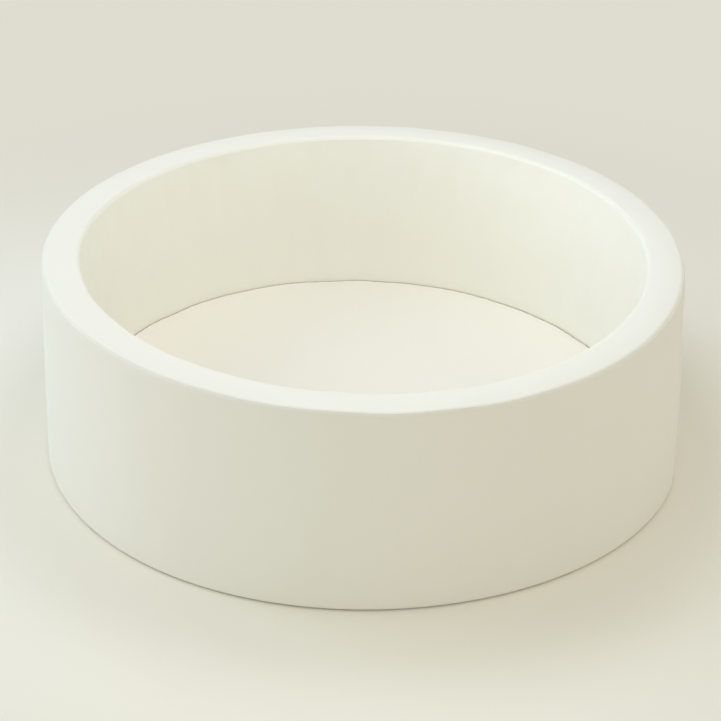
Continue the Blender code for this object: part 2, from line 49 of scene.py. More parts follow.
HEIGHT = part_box("rim_panel")[1].z
MAT_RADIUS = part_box("mat_gusset")[1].x
MAT_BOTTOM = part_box("mat_bottom_panel")[0].z
MAT_CROWN_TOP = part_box("mat_top_panel")[1].z
FOOT_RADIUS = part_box("inner_panel")[1].x
WALL_THICKNESS = 0.050
INNER_RADIUS = OUTER_RADIUS - WALL_THICKNESS
MAT_CROWN = 0.004
MAT_TOP = MAT_CROWN_TOP - MAT_CROWN
MAT_DRAW_IN = 0.0025
MAT_WAIST = MAT_RADIUS - MAT_DRAW_IN

# How the sheets are sewn
WALL_ROUNDING = 0.0065
MAT_ROUNDING = 0.006
SHEET = 0.0009
SEAM_GAP = 0.00006
SEAM_ALLOWANCE = 0.004
LIP_ROLL = 0.0004
UNDERSIDE_LIFT = 0.0003
LAYER_GAP = 0.0011

# Closing seams of the sheets: just past the ring's zip, inside at the front, and on the mat's side
OUTER_CLOSING_SEAM = math.radians(163)
INNER_CLOSING_SEAM = math.radians(268)
GUSSET_CLOSING_SEAM = math.radians(200)

# Zips, which run round the back
BACK = math.radians(90)
SLOT_EDGE_ROLL = 0.0011
SLOT_EDGE_DROP_SHARE = 0.6
SLOT_EDGE_STEPS = (0, 0.0002, 0.0005, 0.0009, 0.0013, 0.0020, 0.0026, 0.0032, 0.0038, 0.0050)
SLOT_LIP_INSET = 0.0018
SLOT_LIP_RISE = 0.00025
TOPSTITCH_INSET = 0.0032
TOPSTITCH_PITCH = 0.0031
TOPSTITCH_SINK = 0.0003
TOPSTITCH_WIDTH = 0.0009
TAPE_DEPTH = 0.0018
TAPE_THICKNESS = 0.0006
TAPE_HIDDEN_END = 0.030
TAPE_STEPS = 160
TOOTH_PITCH = 0.0027
TEETH_OFF_STOP = 0.0040
THREAD_LIE = 0.0002
EXACT_PAST_END = 0.05
FREE_PAST_END = 0.20

# Radii over which a sheet's own pull fades in, so that it moves the face and not the edges turned in
OUTER_FACE = (OUTER_RADIUS - 0.004, OUTER_RADIUS - 0.002)
MAT_FACE = (MAT_RADIUS - 0.006, MAT_RADIUS - 0.004)


class Zip:
    """Where one zip runs, what stays exact near it, and the closing seam of the sheet that it is in."""

    def __init__(self, name, body, half_angle, slot_half, face, thread_rise, exact_heights, closing_seam,
                 face_fade):
        self.name = name
        self.body = body
        self.half_angle = half_angle
        self.start = BACK - half_angle
        self.end = BACK + half_angle
        self.slot_half = slot_half
        self.tape_radius = face - TAPE_DEPTH
        self.thread_radius = face + thread_rise
        self.exact_angles = (half_angle + EXACT_PAST_END, half_angle + FREE_PAST_END)
        self.exact_heights = exact_heights
        self.closing_seam = closing_seam
        self.face_fade = face_fade
        self.middle = (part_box(f"{name}_row_upper")[0].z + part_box(f"{name}_row_lower")[1].z) / 2


WALL_ZIP = Zip(
    "wall_zip", "wall", half_angle=math.radians(66), slot_half=0.007, face=OUTER_RADIUS,
    thread_rise=-THREAD_LIE, exact_heights=(0.017, 0.060), closing_seam=OUTER_CLOSING_SEAM,
    face_fade=OUTER_FACE,
)
MAT_ZIP = Zip(
    "mat_zip", "mat", half_angle=math.radians(57), slot_half=0.006, face=MAT_WAIST,
    thread_rise=THREAD_LIE, exact_heights=(0.012, 0.030), closing_seam=GUSSET_CLOSING_SEAM,
    face_fade=MAT_FACE,
)

# How finely the sheets are turned, with closer steps beside a closing seam, and small limits
ROUND_STEPS = 480
NEAR_SEAM = np.array([0.0, 0.6, 1.1, 1.7, 2.6, 4.0, 6.0, 9.0]) * math.radians(0.1)
FOAM_STEPS = 180
LIP_POINTS = 8
LEAST_MITER = 0.6
SHEET_CREASE = math.radians(50)
ANGLE_SLACK = 1e-6
TINY_LENGTH = 1e-9
SEED = 41


class Seam:
    """A seam that joins two sheets on a rounding, which it cuts at an angle."""

    def __init__(self, centre, rounding, angle):
        self.centre = centre
        self.rounding = rounding
        self.angle = angle
        self.spot = (centre[0] + rounding * math.cos(angle), centre[1] + rounding * math.sin(angle))

    def reach(self, radius, height):
        """How far places are from the seam."""
        return np.hypot(radius - self.spot[0], height - self.spot[1])

    def edge(self, side):
        """A sheet's path round its rolled lip and in along the seam, and the angle at which it starts.

        The sheet lies on the seam's anticlockwise side, or with side -1 on the other.
        """
        half_gap = SEAM_GAP / 2
        inset = half_gap + LIP_ROLL
        bow = math.asin(inset / (self.rounding - LIP_ROLL))
        out = np.array([math.cos(self.angle), math.sin(self.angle)])
        across = side * np.array([-out[1], out[0]])
        middle = np.array(self.centre) + out * (self.rounding - LIP_ROLL) * math.cos(bow) + across * inset
        turns = np.linspace(self.angle + side * bow, self.angle - side * math.pi / 2, LIP_POINTS)
        lip = [middle + LIP_ROLL * np.array([math.cos(t), math.sin(t)]) for t in turns]
        end = np.array(self.centre) + out * (self.rounding - SEAM_ALLOWANCE) + across * half_gap
        return [*lip, end], self.angle + side * bow

    def leave(self, flat, count):
        """A path out of the seam and over the rounding, to the angle where the sheet is flat."""
        edge, start = self.edge(1)
        return edge[::-1] + arc(self.centre, self.rounding, start, flat, count)[1:]

    def enter(self, flat, count):
        """A path from the angle where the sheet is flat, over the rounding and into the seam."""
        edge, end = self.edge(-1)
        return arc(self.centre, self.rounding, flat, end, count)[1:] + edge[1:]


def arc(centre, radius, start, end, count):
    """Points along an arc, both ends included."""
    return [
        np.array([centre[0] + radius * math.cos(t), centre[1] + radius * math.sin(t)])
        for t in np.linspace(start, end, count)
    ]


def line(start, end, count):
    """Points along a straight line, without its first."""
    way = np.array(end) - np.array(start)
    return [np.array(start) + way * step / count for step in range(1, count + 1)]


def thicken(path, thickness):
    """Close a path into an outline by going back along its inner side, which is on the path's left."""
    path = np.array(path)
    ahead = np.diff(path, axis=0)
    ahead /= np.linalg.norm(ahead, axis=1)[:, None]
    before = np.vstack([ahead[:1], ahead])
    after = np.vstack([ahead, ahead[-1:]])
    left_before = np.stack([-before[:, 1], before[:, 0]], 1)
    left_after = np.stack([-after[:, 1], after[:, 0]], 1)
    miter = left_before + left_after
    miter /= np.maximum((miter * left_after).sum(1), LEAST_MITER)[:, None]
    return np.vstack([path, (path + thickness * miter)[::-1]])


def round_angles(seam=None, ends=()):
    """The angles of a turned mesh: even steps, closer ones at a closing seam, and any exact ends."""
    step = 2 * math.pi / ROUND_STEPS
    angles = list(np.arange(ROUND_STEPS) * 2 * math.pi / ROUND_STEPS)
    if seam is not None:
        angles = [a for a in angles if abs(a - seam) > NEAR_SEAM[-1] + step / 2]
        angles += [*(seam + NEAR_SEAM), *(seam - NEAR_SEAM[1:])]
    for end in ends:
        angles = [a for a in angles if abs(a - end) > step / 2]
        angles.append(end)
    return np.array(sorted(angles))


def link(name, data):
    """Put a mesh, a lamp or a camera into the scene."""
    made = bpy.data.objects.new(name, data)
    bpy.context.scene.collection.objects.link(made)
    return made


def new_object(name, vertices, faces, material):
    """A smooth object whose faces already point out."""
    mesh = bpy.data.meshes.new(name)
    mesh.from_pydata([tuple(v) for v in vertices], [], faces)
    mesh.shade_smooth()
    mesh.set_sharp_from_angle(angle=SHEET_CREASE)
    mesh.materials.append(material)
    return link(name, mesh)


def turned_places(outline, angles, settle):
    """Turn an outline about the z axis and settle its points, one row for each angle."""
    theta = angles[:, None] * np.ones(len(outline))
    radius = outline[None, :, 0] * np.ones(len(angles))[:, None]
    height = outline[None, :, 1] * np.ones(len(angles))[:, None]
    radius, height = settle(theta, radius, height)
    return np.stack([radius * np.cos(theta), radius * np.sin(theta), height], 2).reshape(-1, 3)


def quad(here, there, low, high):
    """A face between two points of one row and the same two of the next."""
    return here + low, there + low, there + high, here + high


def slot_faces(open_spans, points, outer_edge, inner_edge):
    """The faces along the four edges of a slot, which close the sheet there."""
    faces = []
    for span in open_spans:
        here, there = span * points, (span + 1) * points
        faces.append(quad(here, there, outer_edge, inner_edge + 1))
        faces.append(quad(here, there, inner_edge, outer_edge + 1))
    around = (outer_edge, outer_edge + 1, inner_edge, inner_edge + 1)
    faces.append(tuple(open_spans[0] * points + k for k in reversed(around)))
    faces.append(tuple((open_spans[-1] + 1) * points + k for k in around))
    return faces


def turn_sheet(name, outline, angles, settle, material, window=None, is_whole=True):
    """Turn a closed outline about the z axis and close the edges of its slot.

    window is the first and last angle of a slot, with the outline's numbers of the edge that is left
    out outside and of the one inside.
    """
    points = len(outline)
    count = len(angles)
    open_spans = []
    if window:
        first, last, outer_edge, inner_edge = window
        open_spans = [i for i, a in enumerate(angles) if first - ANGLE_SLACK <= a < last - ANGLE_SLACK]
    opened = set(open_spans)
    faces = []
    for span in range(count if is_whole else count - 1):
        here, there = span * points, (span + 1) % count * points
        for low in range(points):
            if span not in opened or low not in (outer_edge, inner_edge):
                faces.append(quad(here, there, low, (low + 1) % points))
    if open_spans:
        faces += slot_faces(open_spans, points, outer_edge, inner_edge)
    if not is_whole:
        faces.append(tuple(range(points)))
        faces.append(tuple(reversed(range((count - 1) * points, count * points))))
    return new_object(name, turned_places(outline, angles, settle), faces, material)


def turn_disc(name, outline, angles, settle, material):
    """Turn an outline that starts and ends on the z axis into a closed disc."""
    points = len(outline) - 2
    places = turned_places(outline[1:-1], angles, settle)
    ends = outline[[0, -1]][None]
    _, pole_heights = settle(np.zeros((1, 2)), ends[:, :, 0], ends[:, :, 1])
    first_pole = len(places)
    faces = []
    for turn in range(len(angles)):
        here, there = turn * points, (turn + 1) % len(angles) * points
        faces += [quad(here, there, low, low + 1) for low in range(points - 1)]
        faces.append((first_pole, there, here))
        faces.append((here + points - 1, there + points - 1, first_pole + 1))
    poles = [(0, 0, height) for height in pole_heights[0]]
    return new_object(name, np.vstack([places, poles]), faces, material)


class Ripples:
    """Soft irregular waves round the pit, which close on themselves after a full turn."""

    def __init__(self, seed, slowest, fastest, count, slope):
        dice = np.random.default_rng(SEED + seed)
        self.rates = dice.integers(slowest, fastest + 1, count)
        self.phases = dice.uniform(0, 2 * math.pi, count)
        self.slopes = dice.uniform(-slope, slope, count)

    def __call__(self, theta, across=0.0):
        total = np.zeros_like(theta * across)
        for rate, phase, slope in zip(self.rates, self.phases, self.slopes):
            total = total + np.sin(rate * theta + phase + slope * across)
        return total / math.sqrt(len(self.rates))


# Each set's seed, slowest and fastest rate, number of waves, and how far they lean
broad_waves = Ripples(1, 3, 17, 7, 12)
hand_waves = Ripples(2, 18, 46, 9, 30)
seam_puckers = Ripples(3, 70, 150, 12, 60)
rim_waves = Ripples(4, 5, 26, 8, 20)
mat_waves = Ripples(5, 2, 9, 6, 14)
mat_edge_waves = Ripples(6, 5, 34, 10, 8)
mat_puckers = Ripples(7, 80, 150, 12, 50)


def bell(distance, width):
    """A soft mask that is 1 at no distance."""
    return np.exp(-(distance / width) ** 2)


def fade(value, start, end):
    """A smooth step from 0 at start to 1 at end."""
    share = np.clip((value - start) / (end - start), 0, 1)
    return share * share * (3 - 2 * share)


def angle_gap(theta, other):
    """The least angle between two directions."""
    return np.abs((theta - other + math.pi) % (2 * math.pi) - math.pi)


# Middles of the roundings, and the seams on them
EIGHTH = math.pi / 4
LOW_CENTRE = (OUTER_RADIUS - WALL_ROUNDING, WALL_ROUNDING)
HIGH_CENTRE = (OUTER_RADIUS - WALL_ROUNDING, HEIGHT - WALL_ROUNDING)
INNER_CENTRE = (INNER_RADIUS + WALL_ROUNDING, HEIGHT - WALL_ROUNDING)
MAT_LOW_CENTRE = (MAT_RADIUS - MAT_ROUNDING, MAT_BOTTOM + MAT_ROUNDING)
MAT_HIGH_CENTRE = (MAT_RADIUS - MAT_ROUNDING, MAT_TOP - MAT_ROUNDING)
FOOT_SEAM = Seam(LOW_CENTRE, WALL_ROUNDING, -EIGHTH)
RIM_OUTER_SEAM = Seam(HIGH_CENTRE, WALL_ROUNDING, EIGHTH)
RIM_INNER_SEAM = Seam(INNER_CENTRE, WALL_ROUNDING, math.pi - EIGHTH)
MAT_LOW_SEAM = Seam(MAT_LOW_CENTRE, MAT_ROUNDING, -EIGHTH)
MAT_HIGH_SEAM = Seam(MAT_HIGH_CENTRE, MAT_ROUNDING, EIGHTH)

# How far soft foam stands out of round, as it settles: cosine and sine shares of one, two and three lobes
TOP_LOBES = ((1, 0.0040, 0.0), (2, -0.0086, 0.0034), (3, -0.0030, 0.0018))
FRONT_FOOT_LOBES = ((1, 0.0032, 0.0), (2, 0.0067, -0.0011), (3, 0.0037, -0.0005))
FRONT = (-0.05, 0.35)
FROM_MIDDLE = (0.10, INNER_RADIUS - 0.02)
LEAN_POWER = 1.6

# The wall's top edge flares a little, and its foam swells over the mat's rounded edge
RIM_FLARE = 0.0012
FLARE_HEIGHTS = (HEIGHT - 0.070, HEIGHT - 0.010)
FLARE_RADII = (OUTER_RADIUS - 0.020, OUTER_RADIUS - 0.008)
SWELL = 0.0030
SWELL_RISE = (MAT_TOP - 0.0060, MAT_TOP - 0.0004)
SWELL_FALL = (MAT_TOP + 0.004, MAT_TOP + 0.050)

# Waves and dents left by foam and hand work, and where they fade in
BROAD_WAVE = 0.0006
HAND_WAVE = 0.00022
RIM_WAVE = 0.0003
MAT_DENT = 0.0007
DENT_EDGE_POWER = 6
CROWN_EDGE_POWER = 3
MAT_EDGE_WAVE = 0.0007
ON_TOP = (HEIGHT - 0.020, HEIGHT - 0.004)
OFF_FLOOR = (0.004, 0.05)
OFF_MAT = (MAT_TOP + 0.004, 0.12)
UPPER_MAT = (MAT_BOTTOM + 0.030, MAT_TOP - 0.004)
MAT_EDGE = (MAT_RADIUS - 0.060, MAT_RADIUS - 0.008)

# Beside a seam: the height and width of its puckers, and the depth and width of the dip that it draws
PUCKERS_OFF_SEAM = 0.004
WALL_DRAW = (0.00012, 0.007, 0.00008, 0.003)
WALL_DRAW_SHARE = 0.7
MAT_DRAW = (0.00025, 0.008, 0.0003, 0.004)
MAT_DRAW_SHARES = (0.5, 0.7)

# A closing seam pulls its sheet in as a narrow valley in a shallow one: depths and widths
CLOSING_VALLEYS = ((0.0007, 0.0007), (0.0003, 0.006))


def lobes(theta, shares):
    """The sum of a few slow waves round the pit."""
    return sum(c * np.cos(k * theta) + s * np.sin(k * theta) for k, c, s in shares)


def out_of_round(theta, radius, height):
    """How far the ring and the mat stand out from a true circle at a place."""
    lean = np.clip(height / HEIGHT, 0, 1) ** LEAN_POWER
    foot = (1 - lean) * fade(-np.sin(theta), *FRONT)
    stands_out = lean * lobes(theta, TOP_LOBES) + foot * lobes(theta, FRONT_FOOT_LOBES)
    return fade(radius, *FROM_MIDDLE) * stands_out


def near_zip(theta, height, run):
    """1 where a zip must lie on its exact circle, 0 away from it."""
    by_angle = 1 - fade(angle_gap(theta, BACK), *run.exact_angles)
    return by_angle * (1 - fade(np.abs(height - run.middle), *run.exact_heights))


# How the sewn covers are pressed out from within by their foam
HULL_STEP = 0.0078
HULL_SECTORS = 6
COVER_UNEVENNESS = 0.00012
COVER_FRAMES = 20
COVER_SETTINGS = {
    "quality": 4,
    "mass": 0.3,
    "air_damping": 4.0,
    "tension_stiffness": 12.0,
    "compression_stiffness": 12.0,
    "shear_stiffness": 4.0,
    "bending_stiffness": 0.4,
    "shrink_min": -0.0008,
    "use_pressure": True,
    "uniform_pressure_force": 0.4,
}
NEAR_PLACES = 7
NEAR_REACH = 0.004
RING_MOVE_LIMIT = 0.0024
MAT_MOVE_LIMIT = 0.0026


def blown_up(name, places, faces, held):
    """Where the places of a closed hull of cloth, held at its seams, end when it is pressed out."""
    mesh = bpy.data.meshes.new(name)
    mesh.from_pydata([tuple(place) for place in places], [], faces)
    cover = link(name, mesh)
    seams = cover.vertex_groups.new(name="seams")
    seams.add([int(number) for number in np.nonzero(held)[0]], 1.0, "REPLACE")
    settings = cover.modifiers.new("foam_pressure", "CLOTH").settings
    for key, value in COVER_SETTINGS.items():
        setattr(settings, key, value)
    settings.vertex_group_mass = seams.name
    settings.effector_weights.gravity = 0.0
    for frame_number in range(1, COVER_FRAMES + 1):
        bpy.context.scene.frame_set(frame_number)
    pressed = cover.evaluated_get(bpy.context.evaluated_depsgraph_get()).data
    flat = np.empty(len(places) * 3, dtype=np.float32)
    pressed.vertices.foreach_get("co", flat)
    bpy.data.objects.remove(cover, do_unlink=True)
    bpy.context.scene.frame_set(1)
    return flat.reshape(-1, 3)


class FilledCover:
    """How far a sewn cover moves, place by place, when its foam presses it out."""

    def __init__(self, name, places, faces, held, limit):
        dice = np.random.default_rng(SEED)
        places = np.array(places) + dice.normal(0, COVER_UNEVENNESS, (len(places), 3))
        move = blown_up(name, places, faces, held) - places
        length = np.maximum(np.linalg.norm(move, axis=1, keepdims=True), TINY_LENGTH)
        self.moves = move * limit * np.tanh(length / limit) / length
        self.tree = KDTree(len(places))
        for number, place in enumerate(places):
            self.tree.insert(place, number)
        self.tree.balance()

    def __call__(self, theta, radius, height):
        """The outward and the upward move at places on the cover."""
        out = np.zeros(theta.shape)
        up = np.zeros(theta.shape)
        for at in np.ndindex(theta.shape):
            across, along = math.cos(theta[at]), math.sin(theta[at])
            near = self.tree.find_n((radius[at] * across, radius[at] * along, height[at]), NEAR_PLACES)
            shares = np.array([1 / (gap + NEAR_REACH) ** 2 for _, _, gap in near])
            move = shares @ self.moves[[number for _, number, _ in near]] / shares.sum()
            out[at] = move[0] * across + move[1] * along
            up[at] = move[2]
        return out, up


def on_seams(radius, height, seams):
    """True where a place is on one of the seams."""
    return np.min([seam.reach(radius, height) for seam in seams], axis=0) < HULL_STEP / 2


def filled_ring():
    """The ring's cover, pressed out by its foam."""
    wall_rows = round((HIGH_CENTRE[1] - LOW_CENTRE[1]) / HULL_STEP)
    rim_rows = round((HIGH_CENTRE[0] - INNER_CENTRE[0]) / HULL_STEP)
    path = [FOOT_SEAM.spot, (OUTER_RADIUS, LOW_CENTRE[1])]
    path += line((OUTER_RADIUS, LOW_CENTRE[1]), (OUTER_RADIUS, HIGH_CENTRE[1]), wall_rows)
    path += [RIM_OUTER_SEAM.spot, (HIGH_CENTRE[0], HEIGHT)]
    path += line((HIGH_CENTRE[0], HEIGHT), (INNER_CENTRE[0], HEIGHT), rim_rows)
    path += [RIM_INNER_SEAM.spot, (INNER_RADIUS, INNER_CENTRE[1])]
    path += line((INNER_RADIUS, INNER_CENTRE[1]), (INNER_RADIUS, 0), wall_rows)
    path += line((INNER_RADIUS, 0), (LOW_CENTRE[0], 0), rim_rows)
    path = np.array(path)
    points = len(path)
    steps = round(2 * math.pi * (OUTER_RADIUS + INNER_RADIUS) / 2 / HULL_STEP)
    places = []
    faces = []
    for step in range(steps):
        turn = 2 * math.pi * step / steps
        places += [(r * math.cos(turn), r * math.sin(turn), z) for r, z in path]
        here, there = step * points, (step + 1) % steps * points
        faces += [quad(here, there, low, (low + 1) % points) for low in range(points)]
    held_path = on_seams(path[:, 0], path[:, 1], (RIM_OUTER_SEAM, RIM_INNER_SEAM))
    held = np.tile(held_path | (path[:, 1] < HULL_STEP), steps)
    return FilledCover("ring_cover_hull", places, faces, held, RING_MOVE_LIMIT)


def places_round(ring):
    """How many places a ring has: one more in each sector than the ring inside it, or one in the middle."""
    return max(HULL_SECTORS * ring, 1)


def filled_mat():
    """The mat's cover, pressed out by its foam, as levels of rings."""
    rings = round(MAT_HIGH_CENTRE[0] / HULL_STEP)
    levels = [(MAT_HIGH_CENTRE[0] * ring / rings, MAT_TOP, ring) for ring in range(rings + 1)]
    side_rows = round((MAT_HIGH_CENTRE[1] - MAT_LOW_CENTRE[1]) / HULL_STEP)
    side = [MAT_HIGH_SEAM.spot, (MAT_RADIUS, MAT_HIGH_CENTRE[1])]
    side += line((MAT_RADIUS, MAT_HIGH_CENTRE[1]), (MAT_RADIUS, MAT_LOW_CENTRE[1]), side_rows)
    levels += [(r, z, rings) for r, z in (*side, MAT_LOW_SEAM.spot)]
    levels += [(MAT_LOW_CENTRE[0] * ring / rings, MAT_BOTTOM, ring) for ring in range(rings, -1, -1)]
    places = []
    starts = []
    for radius, height, ring in levels:
        starts.append(len(places))
        count = places_round(ring)
        height = height + (crown_at(radius) if height == MAT_TOP else 0.0)
        turns = [2 * math.pi * step / count for step in range(count)]
        places += [(radius * math.cos(turn), radius * math.sin(turn), height) for turn in turns]
    faces = []
    for level in range(len(levels) - 1):
        faces += band_faces(starts[level], levels[level][2], starts[level + 1], levels[level + 1][2])
    flat = np.array(places)
    radius = np.hypot(flat[:, 0], flat[:, 1])
    held = on_seams(radius, flat[:, 2], (MAT_HIGH_SEAM, MAT_LOW_SEAM))
    held = held | (flat[:, 2] < MAT_BOTTOM + HULL_STEP / 2)
    return FilledCover("mat_cover_hull", places, faces, held, MAT_MOVE_LIMIT)


def band_faces(first, first_ring, second, second_ring):
    """Faces between two levels, which start at first and second in the list of places."""
    if first_ring == second_ring:
        count = places_round(first_ring)
        return [quad(first, second, k, (k + 1) % count) for k in range(count)]
    widens = second_ring > first_ring
    small, large, wide = (first, second, second_ring) if widens else (second, first, first_ring)
    faces = []
    for sector in range(HULL_SECTORS):
        for k in range(wide):
            outer = large + sector * wide + k
            outer_next = large + (sector * wide + k + 1) % places_round(wide)
            inner = small + (sector * (wide - 1) + k) % places_round(wide - 1)
            faces.append((inner, outer, outer_next))
            if k < wide - 1:
                inner_next = small + (sector * (wide - 1) + k + 1) % places_round(wide - 1)
                faces.append((inner, outer_next, inner_next))
    return faces if widens else [face[::-1] for face in faces]


def mat_edge_rise(theta):
    """How the mat's edge wavers up and down; the wall's swell follows it."""
    return MAT_EDGE_WAVE * mat_edge_waves(theta)


def seam_draw(reach, waves, pucker, pucker_width, dip, dip_width):
    """Puckers a little off a seam, and the dip at the seam."""
    return pucker * waves * bell(reach - PUCKERS_OFF_SEAM, pucker_width) - dip * bell(reach, dip_width)


def settle_wall(theta, radius, height):
    """Foam and hand work: the ring's sheets wave a little, and pucker close to their seams."""
    is_outside = radius > (INNER_RADIUS + OUTER_RADIUS) / 2
    side = np.where(is_outside, 1.0, -1.0)
    on_top = fade(height, *ON_TOP)
    clear_of_zip = 1 - near_zip(theta, height, WALL_ZIP) * is_outside
    above_mat = np.where(is_outside, fade(height, *OFF_FLOOR), fade(height, *OFF_MAT))
    swell_up = fade(height - mat_edge_rise(theta), *SWELL_RISE)
    swell = np.where(is_outside, 0.0, swell_up * (1 - fade(height, *SWELL_FALL)))
    flare = fade(height, *FLARE_HEIGHTS) * fade(radius, *FLARE_RADII)
    across = radius + height
    wave = BROAD_WAVE * broad_waves(theta, across) + HAND_WAVE * hand_waves(theta, across)
    pressed_out, pressed_up = pressed_ring(theta, radius, height)
    move_out = clear_of_zip * above_mat * side * (wave - BROAD_WAVE) * (1 - on_top)
    move_out = move_out + clear_of_zip * np.where(is_outside, 1.0, above_mat) * pressed_out
    move_out = move_out + clear_of_zip * out_of_round(theta, radius, height)
    move_out = move_out + RIM_FLARE * flare - SWELL * swell
    rise = on_top * RIM_WAVE * rim_waves(theta) + on_top * pressed_up
    for seam, outward, upward in (
        (RIM_OUTER_SEAM, 1.0, 1.0),
        (RIM_INNER_SEAM, -1.0, 1.0),
        (FOOT_SEAM, 1.0, 0.0),
    ):
        drawn = seam_draw(seam.reach(radius, height), seam_puckers(theta), *WALL_DRAW) * WALL_DRAW_SHARE
        move_out = move_out + outward * drawn
        rise = rise + upward * drawn
    return radius + move_out, height + rise


def sunk_seam(theta, at, radius):
    """How far a closing seam pulls a sheet in."""
    along = angle_gap(theta, at) * radius
    return sum(depth * bell(along, width) for depth, width in CLOSING_VALLEYS)


def slot_edge(theta, radius, height, run):
    """How far a sheet rolls in at the edge of its zip slot, and sinks under the stitches beside it."""
    beyond_ends = (angle_gap(theta, BACK) - run.half_angle) * radius
    beyond_sides = np.abs(height - run.middle) - run.slot_half
    is_corner = (beyond_ends > 0) & (beyond_sides > 0)
    nearest = np.maximum(beyond_ends, beyond_sides)
    away = np.maximum(np.where(is_corner, np.hypot(beyond_ends, beyond_sides), nearest), 0)
    inside = np.clip(1 - away / SLOT_EDGE_ROLL, 0, 1)
    roll = SLOT_EDGE_ROLL * SLOT_EDGE_DROP_SHARE * (1 - np.sqrt(1 - inside**2))
    sink = TOPSTITCH_SINK * bell(away - TOPSTITCH_INSET, TOPSTITCH_WIDTH)
    return roll + sink - SLOT_LIP_RISE * bell(away - SLOT_LIP_INSET, TOPSTITCH_WIDTH)


def settle_inner(theta, radius, height):
    """The inner sheet is pulled in by its closing seam."""
    new_radius, new_height = settle_wall(theta, radius, height)
    return new_radius + sunk_seam(theta, INNER_CLOSING_SEAM, radius), new_height


def settle_ring_foam(theta, radius, height):
    """The ring's foam follows its cover, and stays under the rim."""
    new_radius, new_height = settle_wall(theta, radius, height)
    return new_radius, np.minimum(new_height, height + FOAM_RISE)


def crown_at(radius):
    """How far the mat's crown rises over its edge."""
    share = np.clip(radius / MAT_HIGH_CENTRE[0], 0, 1)
    return MAT_CROWN * (1 - share**CROWN_EDGE_POWER)


def settle_mat(theta, radius, height):
    """The mat's sheets: a soft uneven crown, and an edge that wavers a little where it meets the wall."""
    share = np.clip(radius / MAT_RADIUS, 0, 1)
    is_upper = fade(height, *UPPER_MAT)
    dent = MAT_DENT * mat_waves(theta, radius) * share * (1 - share**DENT_EDGE_POWER)
    edge = mat_edge_rise(theta) * fade(radius, *MAT_EDGE)
    drawn = seam_draw(MAT_HIGH_SEAM.reach(radius, height), mat_puckers(theta), *MAT_DRAW)
    pressed_out, pressed_up = pressed_mat(theta, radius, height)
    moved = out_of_round(theta, radius, height) + np.minimum(pressed_out, 0.0)
    radius = radius + moved * (1 - near_zip(theta, height, MAT_ZIP))
    height = height + is_upper * pressed_up + is_upper * (dent + edge)
    return radius + drawn * MAT_DRAW_SHARES[0], height + drawn * MAT_DRAW_SHARES[1]


def unmoved(theta, radius, height):
    """A piece that isn't soft stays as it is turned."""
    return radius, height


# Points on the sheets' roundings, and the rows and rings that their flat sides and their foam have
FINE_ARC = 6
PLAIN_ARC = 5
HEEL_POINTS = 4
OUTER_ROWS = 22
RIM_ROWS = 8
FOOT_ROWS = 2
GUSSET_ROWS = 7
DISC_RINGS = 10
CROWN_RINGS = 34
CROWN_RING_POWER = 1.15
FOAM_SIDE_ROWS = 20
FOAM_TOP_ROWS = 5
MAT_FOAM_RINGS = 12

# Heights over the mat's top where the rows inside the wall change their spacing, and the rows between
SPACING_HEIGHTS = MAT_TOP + np.array([0.040, 0.038, 0.0035, 0.0027, -0.0085, -0.013])
SPACING_ROWS = (20, 14, 15, 4)


def slot_heights(run):
    """Heights that come close together at a slot's two edges and under its stitches."""
    low = [run.middle - run.slot_half - step for step in reversed(SLOT_EDGE_STEPS)]
    high = [run.middle + run.slot_half + step for step in SLOT_EDGE_STEPS]
    return low, high


def slotted_sheet(name, path, slot_start, run, settle, material):
    """Turn a path into a sheet with a zip's slot, which starts after one of the path's points.

    The sheet also rolls in at the slot and is pulled in by its closing seam.
    """

    def settle_slotted(theta, radius, height):
        pull = sunk_seam(theta, run.closing_seam, radius) + slot_edge(theta, radius, height, run)
        new_radius, new_height = settle(theta, radius, height)
        return new_radius - pull * fade(radius, *run.face_fade), new_height

    window = (run.start, run.end, slot_start, 2 * len(path) - 2 - slot_start)
    angles = round_angles(run.closing_seam, window[:2])
    return turn_sheet(name, thicken(path, SHEET), angles, settle_slotted, material, window)


def outer_panel(material):
    """The leatherette sheet round the outside, from the floor's seam to the rim's."""
    low, high = slot_heights(WALL_ZIP)
    path = FOOT_SEAM.leave(0, FINE_ARC)
    slot_start = len(path) + len(low) - 1
    path += [np.array([OUTER_RADIUS, z]) for z in (*low, *high)]
    path += line((OUTER_RADIUS, high[-1]), (OUTER_RADIUS, HIGH_CENTRE[1]), OUTER_ROWS)
    path += RIM_OUTER_SEAM.enter(0, FINE_ARC)
    return slotted_sheet("outer_cover", path, slot_start, WALL_ZIP, settle_wall, material)


def rim_panel(material):
    """The flat ring of leatherette on top of the wall."""
    path = RIM_OUTER_SEAM.leave(math.pi / 2, FINE_ARC)
    path += line((HIGH_CENTRE[0], HEIGHT), (INNER_CENTRE[0], HEIGHT), RIM_ROWS)
    path += RIM_INNER_SEAM.enter(math.pi / 2, FINE_ARC)
    return turn_sheet("rim_cover", thicken(path, SHEET), round_angles(), settle_wall, material)


def inner_heights(top, bottom):
    """Heights down the inside of the wall, close together where it swells over the mat."""
    spans = zip((top, *SPACING_HEIGHTS[1::2]), (*SPACING_HEIGHTS[::2], bottom), SPACING_ROWS)
    return np.concatenate([np.linspace(*span) for span in spans])


